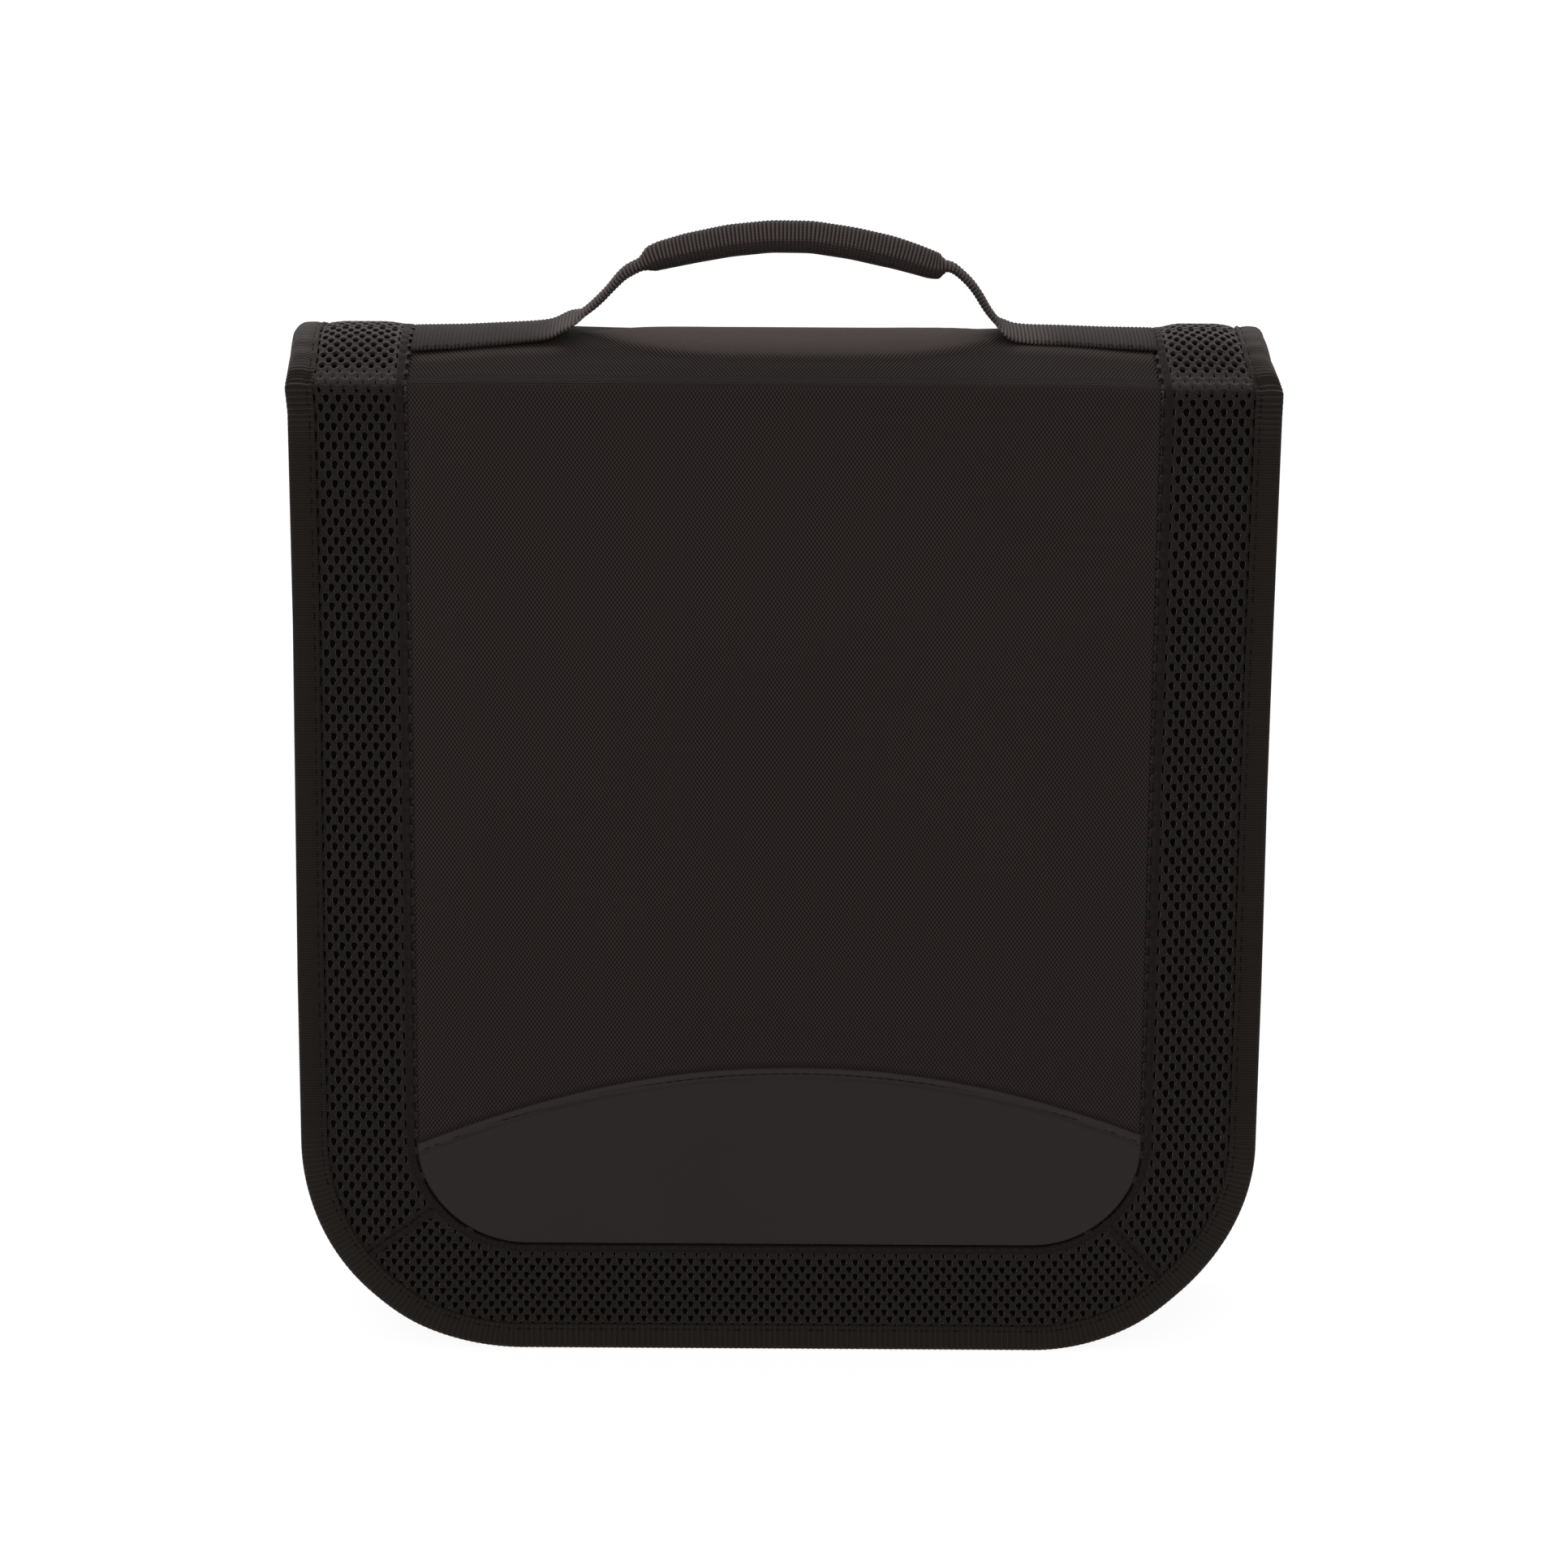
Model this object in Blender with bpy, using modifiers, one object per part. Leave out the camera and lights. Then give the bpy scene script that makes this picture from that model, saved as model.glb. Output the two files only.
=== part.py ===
"""Zip-round disc wallet that stands on its lower edge, with the spine and its webbing handle on top.

The front cover faces -Y, +X is to its right and the floor is Z = 0, under the middle of the case.
Every layer of the covers and of the spine is placed by its depth below the outer face.
"""
import math

import bmesh
import bpy
from mathutils import Vector
from mathutils.geometry import interpolate_bezier

MM = 0.001

# Whole case
CASE_WIDTH = 290 * MM
CASE_DEPTH = 75 * MM
FACE_HEIGHT = 303 * MM
SPINE_RISE = 8 * MM
CORNER_RADIUS = 68 * MM
GAP = 0.3 * MM
CORNER_SEGMENTS = 12
SPINE_SEGMENTS = 14
CURVE_WELD = 0.001 * MM

# Sewn layers
TAPE_THICKNESS = 0.8 * MM
BINDING_WIDTH = 8 * MM
MESH_THICKNESS = 1.0 * MM
MESH_WIDTH = 27 * MM
MESH_HEM = 2.5 * MM
PANEL_RECESS = 0.3 * MM
PANEL_BEVEL = 0.5 * MM
BOARD_THICKNESS = 2.0 * MM
LINING_THICKNESS = 0.6 * MM
FLANGE_THICKNESS = 0.7 * MM
SIDE_WALL_THICKNESS = 1.6 * MM

# Openings of the air mesh
HOLE_WIDTH = 4.2 * MM
HOLE_LENGTH = 7 * MM
HOLE_PITCH = 20 * MM
HOLE_COLUMNS = 3
LEFT_SEAM_ANGLE = 37
RIGHT_SEAM_ANGLE = 47

# Leatherette foot panel
FOOT_END_RISE = 1 * MM
FOOT_ARCH_RISE = 23 * MM

# Zip
COIL_DIAMETER = 1.7 * MM
COIL_SPACING = 1.4 * MM
ZIP_TAPE_THICKNESS = 0.7 * MM
ZIP_TAPE_WIDTH = 13.4 * MM
ZIP_TAPE_LAP = 3 * MM
END_TAB_THICKNESS = 1 * MM
END_TAB_WIDTH = 24 * MM
END_TAB_LENGTH = 18 * MM
SLIDER_WIDTH = 9 * MM
SLIDER_LENGTH = 11 * MM
SLIDER_NOSE_WIDTH = 5.5 * MM
SLIDER_PLATE = 1.1 * MM
SLIDER_BRIDGE = 3 * MM
SLIDER_DROP = 8 * MM
BAIL_WIRE = 1.1 * MM
BAIL_LENGTH = 6.4 * MM
BAIL_RISE = 3 * MM
PULL_THICKNESS = 1.1 * MM
PULL_BAR = 1.4 * MM
PULL_WIDTH = 5.4 * MM
PULL_LENGTH = 27 * MM

# Pages
PAGE_MARGIN = 15 * MM
PAGE_DROP = 1 * MM
PAGE_HEADER = 6 * MM
PAGE_COUNT = 15
PAGE_THICKNESS = 1.6 * MM
PAGE_CLEARANCE = 2.7 * MM
ANCHOR_WIDTH = 40 * MM

# Webbing handle
WEBBING_WIDTH = 25 * MM
WEBBING_THICKNESS = 1.2 * MM
HANDLE_RISE = 34 * MM
GRIP_HALF_LENGTH = 44 * MM
GRIP_ARC_RADIUS = 113 * MM
FOOT_HALF_SPAN = 71 * MM
FOOT_HANDLE = 11 * MM
GRIP_HANDLE = 13 * MM
CURL_LENGTH = 9 * MM
GRIP_SLIT = 1 * MM
WEBBING_ACROSS = 10
GRIP_STEPS = 16
RISER_STEPS = 9

HALF_WIDTH = CASE_WIDTH / 2
HALF_DEPTH = CASE_DEPTH / 2
COVER_TOP = FACE_HEIGHT - GAP

# Depths below the outer face, from the outside in
MESH_TOP = TAPE_THICKNESS + GAP
SKIN_BACK = MESH_TOP + MESH_THICKNESS
BOARD_TOP = SKIN_BACK + GAP
BOARD_BACK = BOARD_TOP + BOARD_THICKNESS
LINING_TOP = BOARD_BACK + GAP
LINING_BACK = LINING_TOP + LINING_THICKNESS
FLANGE_BACK = BOARD_TOP + FLANGE_THICKNESS
BINDING_LEG = FLANGE_BACK + GAP
BINDING_BACK = BINDING_LEG + TAPE_THICKNESS

# Distances in from the outline of the case
MESH_EDGE = TAPE_THICKNESS + GAP
WALL_OUTSIDE = BINDING_WIDTH + GAP
WALL_INSIDE = WALL_OUTSIDE + SIDE_WALL_THICKNESS
CORE_EDGE = WALL_INSIDE + GAP
ZIP_TAPE_INSIDE = CORE_EDGE + ZIP_TAPE_THICKNESS
COIL_CENTRE = CORE_EDGE + ZIP_TAPE_THICKNESS / 2
SEAM = BINDING_WIDTH + MESH_WIDTH
MESH_MIDDLE = BINDING_WIDTH + (MESH_WIDTH - MESH_HEM) / 2

# Distances from the middle plane between the two covers
COIL_OFFSET = (COIL_SPACING + COIL_DIAMETER) / 2
ZIP_TAPE_NEAR = COIL_SPACING / 2 + COIL_DIAMETER + GAP
ZIP_TAPE_FAR = ZIP_TAPE_NEAR + ZIP_TAPE_WIDTH
WALL_NEAR = ZIP_TAPE_FAR - ZIP_TAPE_LAP

# Circle that the spine's outer face follows
SPINE_RADIUS = (HALF_DEPTH ** 2 + SPINE_RISE ** 2) / (2 * SPINE_RISE)
SPINE_CENTRE = FACE_HEIGHT + SPINE_RISE - SPINE_RADIUS

FRONT = -1
BACK = 1
LEFT = -1
RIGHT = 1


def clear_scene():
    """Remove the objects of the opened file, so that the model starts from nothing."""
    for scene_object in list(bpy.data.objects):
        bpy.data.objects.remove(scene_object, do_unlink=True)


def make_collection(name):
    """Add a collection to the scene."""
    collection = bpy.data.collections.new(name)
    bpy.context.scene.collection.children.link(collection)
    return collection


def make_material(name, colour, roughness, metallic=0.0):
    """Make a plain Principled material."""
    material = bpy.data.materials.new(name)
    material.use_nodes = True
    shader = material.node_tree.nodes["Principled BSDF"]
    shader.inputs["Base Color"].default_value = (*colour, 1.0)
    shader.inputs["Roughness"].default_value = roughness
    shader.inputs["Metallic"].default_value = metallic
    return material


def make_empty(name, location, parent=None):
    """Add an empty that marks a joint's axis."""
    empty = bpy.data.objects.new(name, None)
    empty.empty_display_size = 10 * MM
    empty.location = location
    parts.objects.link(empty)
    if parent is not None:
        adopt(empty, parent)
    return empty


def adopt(child, parent):
    """Parent an object and leave it where it stands."""
    bpy.context.view_layer.update()
    child.parent = parent
    child.matrix_parent_inverse = parent.matrix_world.inverted()


def finish(piece, material, parent=None):
    """Give a finished piece its material, shading and parent."""
    piece.data.materials.clear()
    piece.data.materials.append(material)
    piece.data.shade_smooth()
    piece.data.set_sharp_from_angle(angle=math.radians(35))
    if parent is not None:
        adopt(piece, parent)


def curve_to_mesh(curve_object):
    """Turn a curve object into a mesh object with its caps welded on."""
    bpy.context.view_layer.update()
    evaluated = curve_object.evaluated_get(bpy.context.evaluated_depsgraph_get())
    mesh = bpy.data.meshes.new_from_object(evaluated)
    shape = bmesh.new()
    shape.from_mesh(mesh)
    bmesh.ops.remove_doubles(shape, verts=shape.verts, dist=CURVE_WELD)
    bmesh.ops.recalc_face_normals(shape, faces=shape.faces)
    shape.to_mesh(mesh)
    shape.free()
    name = curve_object.name
    mesh_object = bpy.data.objects.new(name, mesh)
    mesh_object.matrix_world = curve_object.matrix_world
    collection = curve_object.users_collection[0]
    bpy.data.objects.remove(curve_object, do_unlink=True)
    mesh_object.name = name
    collection.objects.link(mesh_object)
    return mesh_object


def extruded(name, outlines, thickness, location, rotation, collection):
    """Extrude flat closed outlines, the later ones being holes, to both sides of their plane."""
    curve = bpy.data.curves.new(name, "CURVE")
    curve.dimensions = "2D"
    curve.fill_mode = "BOTH"
    curve.extrude = thickness / 2
    for outline in outlines:
        spline = curve.splines.new("POLY")
        spline.points.add(len(outline) - 1)
        for point, (across, up) in zip(spline.points, outline):
            point.co = (across, up, 0, 1)
        spline.use_cyclic_u = True
    curve_object = bpy.data.objects.new(name, curve)
    curve_object.location = location
    curve_object.rotation_euler = rotation
    collection.objects.link(curve_object)
    return curve_to_mesh(curve_object)


def face_plate(name, outlines, near, far, side, collection=None):
    """Make a plate parallel to a cover from X-Z outlines, between two distances from the middle plane."""
    middle = side * (near + far) / 2
    thickness = abs(far - near)
    turn = (math.pi / 2, 0, 0)
    return extruded(name, outlines, thickness, (0, middle, 0), turn, collection or parts)


def cover_plate(name, outlines, top, back, side, collection=None):
    """Make a plate of a cover between two depths below the cover's outer face."""
    return face_plate(name, outlines, HALF_DEPTH - back, HALF_DEPTH - top, side, collection)


def cross_plate(name, outlines, low, high, collection=None):
    """Make a solid from Y-Z outlines, between two places along X."""
    turn = (math.pi / 2, 0, math.pi / 2)
    middle = ((low + high) / 2, 0, 0)
    return extruded(name, outlines, high - low, middle, turn, collection or parts)


def tube(name, points, diameter, collection=None):
    """Run a round tube with filled ends through a list of points."""
    curve = bpy.data.curves.new(name, "CURVE")
    curve.dimensions = "3D"
    curve.bevel_depth = diameter / 2
    curve.bevel_resolution = 2
    curve.use_fill_caps = True
    spline = curve.splines.new("POLY")
    spline.points.add(len(points) - 1)
    for point, place in zip(spline.points, points):
        point.co = (*place, 1)
    curve_object = bpy.data.objects.new(name, curve)
    (collection or parts).objects.link(curve_object)
    return curve_to_mesh(curve_object)


def box(name, low, high, collection=None):
    """Make a box between two corners."""
    bpy.ops.mesh.primitive_cube_add(size=1)
    box_object = bpy.context.active_object
    box_object.name = name
    size = [high[axis] - low[axis] for axis in range(3)]
    centre = [(high[axis] + low[axis]) / 2 for axis in range(3)]
    for vertex in box_object.data.vertices:
        vertex.co = [centre[axis] + vertex.co[axis] * size[axis] for axis in range(3)]
    for linked in list(box_object.users_collection):
        linked.objects.unlink(box_object)
    (collection or parts).objects.link(box_object)
    return box_object


def as_tool(tool):
    """Hide a cutter or a joined-in shape from the finished model."""
    tool.hide_render = True
    tool.display_type = "WIRE"
    return tool


def combine(target, tool, operation):
    """Cut one object with another, or join the other to it."""
    modifier = target.modifiers.new(operation.title(), "BOOLEAN")
    modifier.operation = operation
    modifier.object = as_tool(tool)
    return target


def round_edges(target, width):
    """Round the sharp edges of a piece."""
    modifier = target.modifiers.new("Bevel", "BEVEL")
    modifier.width = width
    modifier.segments = 2
    modifier.limit_method = "ANGLE"
    modifier.angle_limit = math.radians(50)
    return target


def arc(centre, radius, start, end, segments):
    """Points along an arc, both ends included; angles in degrees, anticlockwise from +X."""
    points = []
    for step in range(segments + 1):
        angle = math.radians(start + (end - start) * step / segments)
        points.append((centre[0] + radius * math.cos(angle), centre[1] + radius * math.sin(angle)))
    return points


def mirrored(points):
    """Mirror an outline left to right."""
    return [(-across, up) for across, up in reversed(points)]


def corner_arc(inset, start, end):
    """Part of the lower left corner, with angles counted from level at the left down to the bottom."""
    centre = (CORNER_RADIUS - HALF_WIDTH, CORNER_RADIUS)
    segments = max(2, round(CORNER_SEGMENTS * abs(end - start) / 90))
    return arc(centre, CORNER_RADIUS - inset, 180 + start, 180 + end, segments)


def round_path(inset, top):
    """Open path down the left side, round both lower corners and up the right side."""
    left_half = [(inset - HALF_WIDTH, top), *corner_arc(inset, 0, 90)]
    return [*left_half, *mirrored(left_half)]


def round_band(outer, inner, top):
    """Closed outline of a strip that follows the sides and the bottom of the case."""
    return [*round_path(outer, top), *reversed(round_path(inner, top))]


def spine_height(depth, across):
    """Height of a layer of the spine, given its depth below the outer face and its Y."""
    return SPINE_CENTRE + math.sqrt((SPINE_RADIUS - depth) ** 2 - across ** 2)


def spine_arc(depth, half_span=None):
    """Y-Z points over the spine at a depth below its face, from front to back, down to the shoulders."""
    radius = SPINE_RADIUS - depth
    if half_span is None:
        half_span = math.sqrt(radius ** 2 - (FACE_HEIGHT - SPINE_CENTRE) ** 2)
    reach = math.degrees(math.asin(half_span / radius))
    return arc((0, SPINE_CENTRE), radius, 90 + reach, 90 - reach, SPINE_SEGMENTS)


def spine_layer(top, back):
    """Closed Y-Z outline of a layer of the spine."""
    return [*spine_arc(top), *reversed(spine_arc(back))]


def hole_outline(centre, along):
    """Diamond opening of the mesh, long in the direction given."""
    half_length = HOLE_LENGTH / 2
    half_width = HOLE_WIDTH / 2
    across = (-along[1], along[0])
    corners = [(half_length, 0), (0, half_width), (-half_length, 0), (0, -half_width)]
    return [
        (centre[0] + along[0] * a + across[0] * b, centre[1] + along[1] * a + across[1] * b)
        for a, b in corners
    ]


def hole_inset(column):
    """Distance of a column of openings in from the outline of the case."""
    open_width = MESH_WIDTH - MESH_HEM
    return BINDING_WIDTH + open_width * (column + 0.5) / HOLE_COLUMNS


STRAIGHT_RUN = COVER_TOP - CORNER_RADIUS
MESH_RADIUS = CORNER_RADIUS - MESH_MIDDLE
HALF_RUN = STRAIGHT_RUN + MESH_RADIUS * math.pi / 2 + HALF_WIDTH - CORNER_RADIUS


def mesh_spot(run, inset):
    """Place and direction at a run along the middle of the left half's mesh, from the cover's top."""
    if run <= STRAIGHT_RUN:
        return (inset - HALF_WIDTH, COVER_TOP - run), (0, -1)
    turn = (run - STRAIGHT_RUN) / MESH_RADIUS
    if turn <= math.pi / 2:
        radius = CORNER_RADIUS - inset
        across = CORNER_RADIUS - HALF_WIDTH - radius * math.cos(turn)
        return (across, CORNER_RADIUS - radius * math.sin(turn)), (math.sin(turn), -math.cos(turn))
    return (run - HALF_RUN, inset), (1, 0)


def seam_run(angle):
    """Run along the middle of the mesh to the seam across it at a corner."""
    return STRAIGHT_RUN + MESH_RADIUS * math.radians(angle)


def mesh_holes(side, run_from, run_to):
    """Staggered openings of one half of the mesh between two runs."""
    clearance = HOLE_LENGTH / 2 + MESH_HEM / 2
    outlines = []
    for column in range(HOLE_COLUMNS):
        run = HALF_RUN - (column % 2) * HOLE_PITCH / 2
        while run > run_from + clearance:
            in_reach = run < run_to - clearance or run_to >= HALF_RUN
            on_middle = run == HALF_RUN
            if in_reach and not (on_middle and side == RIGHT):
                (across, up), along = mesh_spot(run, hole_inset(column))
                outlines.append(hole_outline((-side * across, up), (-side * along[0], along[1])))
            run -= HOLE_PITCH
    return outlines


def side_mesh(name, side, seam_angle, cover):
    """Mesh band down one side of a cover and round its lower corner as far as the seam."""
    inner = SEAM - GAP / 2
    outline = [
        (MESH_EDGE - HALF_WIDTH, COVER_TOP),
        *corner_arc(MESH_EDGE, 0, seam_angle),
        *corner_arc(inner, seam_angle, 0),
        (inner - HALF_WIDTH, COVER_TOP),
    ]
    if side == RIGHT:
        outline = mirrored(outline)
    holes = mesh_holes(side, 0, seam_run(seam_angle))
    return cover_plate(name, [outline, *holes], MESH_TOP, SKIN_BACK, cover)


def bottom_mesh(name, cover):
    """Mesh band along the bottom of a cover, from one corner seam to the other."""
    inner = SEAM - GAP / 2
    seam_gap = math.degrees(GAP / (CORNER_RADIUS - inner))
    left = LEFT_SEAM_ANGLE + seam_gap
    right = RIGHT_SEAM_ANGLE + seam_gap
    outline = [
        *corner_arc(MESH_EDGE, left, 90),
        *mirrored(corner_arc(MESH_EDGE, right, 90)),
        *reversed(mirrored(corner_arc(inner, right, 90))),
        *reversed(corner_arc(inner, left, 90)),
    ]
    holes = [
        *mesh_holes(LEFT, seam_run(LEFT_SEAM_ANGLE), HALF_RUN),
        *mesh_holes(RIGHT, seam_run(RIGHT_SEAM_ANGLE), HALF_RUN),
    ]
    return cover_plate(name, [outline, *holes], MESH_TOP, SKIN_BACK, cover)


def foot_arch(inset):
    """Arched line between the twill and the foot panel, from left to right."""
    half_chord = HALF_WIDTH - inset
    end_height = CORNER_RADIUS + FOOT_END_RISE
    radius = (half_chord ** 2 + FOOT_ARCH_RISE ** 2) / (2 * FOOT_ARCH_RISE)
    reach = math.degrees(math.asin(half_chord / radius))
    centre = (0, end_height + FOOT_ARCH_RISE - radius)
    return arc(centre, radius, 90 + reach, 90 - reach, CORNER_SEGMENTS)


def binding(name, cover):
    """Grosgrain tape folded round the edge of a cover, open to the inside."""
    tape = cover_plate(name, [round_band(0, BINDING_WIDTH, COVER_TOP)], 0, BINDING_BACK, cover)
    slot_outline = round_band(TAPE_THICKNESS, BINDING_WIDTH + GAP, COVER_TOP + GAP)
    slot = cover_plate(name + "_slot", [slot_outline], TAPE_THICKNESS, BINDING_LEG, cover, tools)
    return combine(tape, slot, "DIFFERENCE")


def side_wall(name, cover):
    """Gusset wall of a cover, with a flange turned out into the binding."""
    outline = round_band(MESH_EDGE, WALL_INSIDE, COVER_TOP)
    wall = face_plate(name, [outline], WALL_NEAR, HALF_DEPTH - BOARD_TOP, cover)
    cut_outline = round_band(-GAP, WALL_OUTSIDE, COVER_TOP + GAP)
    far = HALF_DEPTH - FLANGE_BACK
    cutter = face_plate(name + "_cut", [cut_outline], WALL_NEAR - GAP, far, cover, tools)
    return combine(wall, cutter, "DIFFERENCE")


def make_cover(prefix, cover, hinge, looks):
    """Make the pieces that the front and the back cover share."""
    core = [round_path(CORE_EDGE, COVER_TOP)]
    finish(cover_plate(prefix + "_board", core, BOARD_TOP, BOARD_BACK, cover), looks["board"], hinge)
    finish(cover_plate(prefix + "_lining", core, LINING_TOP, LINING_BACK, cover), looks["lining"], hinge)
    finish(side_mesh(prefix + "_mesh_left", LEFT, LEFT_SEAM_ANGLE, cover), looks["mesh"], hinge)
    finish(side_mesh(prefix + "_mesh_right", RIGHT, RIGHT_SEAM_ANGLE, cover), looks["mesh"], hinge)
    finish(bottom_mesh(prefix + "_mesh_bottom", cover), looks["mesh"], hinge)
    finish(binding(prefix + "_binding", cover), looks["tape"], hinge)
    finish(side_wall(prefix + "_side_wall", cover), looks["twill"], hinge)
    tape_outline = round_band(CORE_EDGE, ZIP_TAPE_INSIDE, COVER_TOP)
    zip_tape = face_plate(prefix + "_zip_tape", [tape_outline], ZIP_TAPE_NEAR, ZIP_TAPE_FAR, cover)
    finish(zip_tape, looks["zip_tape"], hinge)
    path = [(across, cover * COIL_OFFSET, up) for across, up in round_path(COIL_CENTRE, COVER_TOP)]
    finish(tube(prefix + "_zip_coil", path, COIL_DIAMETER), looks["coil"], hinge)


def make_front_panels(hinge, looks):
    """Twill centre of the front cover and the leatherette foot panel below its arch."""
    edge = SEAM + GAP / 2
    arch = foot_arch(edge)
    twill_edge = [(across, up + GAP) for across, up in reversed(arch)]
    twill_outline = [(edge - HALF_WIDTH, COVER_TOP), *reversed(twill_edge), (HALF_WIDTH - edge, COVER_TOP)]
    twill = cover_plate("front_twill_panel", [twill_outline], PANEL_RECESS, SKIN_BACK, FRONT)
    finish(round_edges(twill, PANEL_BEVEL), looks["twill"], hinge)
    corner = corner_arc(edge, 0, 90)
    foot_outline = [*reversed(arch), *corner, *mirrored(corner)]
    foot = cover_plate("front_foot_panel", [foot_outline], 0, SKIN_BACK, FRONT)
    finish(round_edges(foot, PANEL_BEVEL), looks["leatherette"], hinge)


def make_back_panel(hinge, looks):
    """Twill centre of the back cover."""
    outline = round_path(SEAM + GAP / 2, COVER_TOP)
    panel = cover_plate("back_twill_panel", [outline], PANEL_RECESS, SKIN_BACK, BACK)
    finish(round_edges(panel, PANEL_BEVEL), looks["twill"], hinge)


def spine_mesh(name, side):
    """Mesh at one end of the spine, with its openings cut straight down."""
    inner = side * (HALF_WIDTH - SEAM + GAP / 2)
    outer = side * (HALF_WIDTH - MESH_EDGE)
    strip = cross_plate(name, [spine_layer(MESH_TOP, SKIN_BACK)], min(inner, outer), max(inner, outer))
    outlines = []
    reach = HALF_DEPTH - HOLE_LENGTH
    for column in range(HOLE_COLUMNS):
        across = side * (HALF_WIDTH - hole_inset(column))
        rows = math.floor(reach / HOLE_PITCH - (column % 2) / 2)
        for row in range(-rows - column % 2, rows + 1):
            depth = (row + (column % 2) / 2) * HOLE_PITCH
            outlines.append(hole_outline((across, depth), (0, 1)))
    height = FACE_HEIGHT + SPINE_RISE / 2
    cutter = extruded(name + "_holes", outlines, 2 * SPINE_RISE, (0, 0, height), (0, 0, 0), tools)
    return combine(strip, cutter, "DIFFERENCE")


def spine_binding(name, side):
    """Tape folded round one end of the spine, open towards the middle."""
    inner = side * (HALF_WIDTH - BINDING_WIDTH)
    outer = side * HALF_WIDTH
    tape = cross_plate(name, [spine_layer(0, BINDING_BACK)], min(inner, outer), max(inner, outer))
    slot_outline = [
        *spine_arc(TAPE_THICKNESS, HALF_DEPTH),
        *reversed(spine_arc(BINDING_LEG, HALF_DEPTH)),
    ]
    slot_inner = inner - side * GAP
    slot_outer = side * (HALF_WIDTH - TAPE_THICKNESS)
    low = min(slot_inner, slot_outer)
    high = max(slot_inner, slot_outer)
    slot = cross_plate(name + "_slot", [slot_outline], low, high, tools)
    return combine(tape, slot, "DIFFERENCE")


def make_spine(looks):
    """Layers of the spine, from the outside in."""
    centre = HALF_WIDTH - SEAM - GAP / 2
    cover = cross_plate("spine_cover", [spine_layer(PANEL_RECESS, SKIN_BACK)], -centre, centre)
    finish(cover, looks["twill"])
    finish(spine_mesh("spine_mesh_left", LEFT), looks["mesh"])
    finish(spine_mesh("spine_mesh_right", RIGHT), looks["mesh"])
    finish(spine_binding("spine_binding_left", LEFT), looks["tape"])
    finish(spine_binding("spine_binding_right", RIGHT), looks["tape"])
    core = HALF_WIDTH - CORE_EDGE
    finish(cross_plate("spine_board", [spine_layer(BOARD_TOP, BOARD_BACK)], -core, core), looks["board"])
    lining = cross_plate("spine_lining", [spine_layer(LINING_TOP, LINING_BACK)], -core, core)
    finish(lining, looks["lining"])


def hanging_outline(half_span, bottom):
    """Y-Z outline of a piece that hangs from the spine's lining."""
    return [(-half_span, bottom), *spine_arc(LINING_BACK + GAP, half_span), (half_span, bottom)]


def make_end_tabs(looks):
    """Fabric tabs that close the two ends of the zip under the spine."""
    outer = HALF_WIDTH - COIL_CENTRE - COIL_DIAMETER / 2 - GAP
    inner = outer - END_TAB_THICKNESS
    outline = hanging_outline(END_TAB_WIDTH / 2, FACE_HEIGHT - END_TAB_LENGTH)
    finish(cross_plate("zip_end_tab_left", [outline], -outer, -inner), looks["zip_tape"])
    finish(cross_plate("zip_end_tab_right", [outline], inner, outer), looks["zip_tape"])


def make_pages(looks):
    """Block of film pages, sewn together along the top and to a strip under the spine."""
    top = FACE_HEIGHT - PAGE_DROP
    half_pack = HALF_DEPTH - LINING_BACK - PAGE_CLEARANCE
    pitch = (2 * half_pack - PAGE_THICKNESS) / (PAGE_COUNT - 1)
    block = face_plate("disc_pages", [round_path(PAGE_MARGIN, top)], -half_pack, half_pack, BACK)
    reach = HALF_WIDTH - PAGE_MARGIN + GAP
    bottom = PAGE_MARGIN - GAP
    slots = None
    for page in range(PAGE_COUNT - 1):
        start = -half_pack + PAGE_THICKNESS + page * pitch
        end = start + pitch - PAGE_THICKNESS
        slot = box("page_slot", (-reach, start, bottom), (reach, end, top - PAGE_HEADER), tools)
        slots = slot if slots is None else merged(slots, slot)
    finish(combine(block, slots, "DIFFERENCE"), looks["film"])
    outline = hanging_outline(ANCHOR_WIDTH / 2, top + GAP)
    edge = HALF_WIDTH - PAGE_MARGIN
    finish(cross_plate("page_anchor_strip", [outline], -edge, edge), looks["lining"])


def merged(first, second):
    """Add the mesh of one separate tool to another's."""
    shape = bmesh.new()
    shape.from_mesh(first.data)
    shape.from_mesh(second.data)
    shape.to_mesh(first.data)
    shape.free()
    bpy.data.objects.remove(second, do_unlink=True)
    return first


def strap_path():
    """X-Z stations along the middle of the webbing from the left end to the grip's middle, with its curl."""
    resting = spine_height(PANEL_RECESS, 0) + GAP + WEBBING_THICKNESS / 2
    crest = FACE_HEIGHT + SPINE_RISE + HANDLE_RISE - WEBBING_THICKNESS / 2
    grip_reach = math.degrees(math.asin(GRIP_HALF_LENGTH / GRIP_ARC_RADIUS))
    grip = arc((0, crest - GRIP_ARC_RADIUS), GRIP_ARC_RADIUS, 90 + grip_reach, 90, GRIP_STEPS // 2)
    slope = math.radians(grip_reach)
    grip_end = Vector((*grip[0], 0))
    foot = Vector((-FOOT_HALF_SPAN, resting, 0))
    foot_handle = foot + Vector((FOOT_HANDLE, 0, 0))
    grip_handle = grip_end - GRIP_HANDLE * Vector((math.cos(slope), math.sin(slope), 0))
    riser = interpolate_bezier(foot, foot_handle, grip_handle, grip_end, RISER_STEPS + 1)
    stations = [(-(HALF_WIDTH - SEAM - GAP / 2), resting)]
    stations += [(point.x, point.y) for point in riser]
    stations += grip[1:]
    curls = []
    for across, _ in stations:
        folded = (across + GRIP_HALF_LENGTH) / CURL_LENGTH + 1
        folded = min(1, max(0, folded))
        curls.append(folded * folded * (3 - 2 * folded))
    return stations, curls


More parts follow.
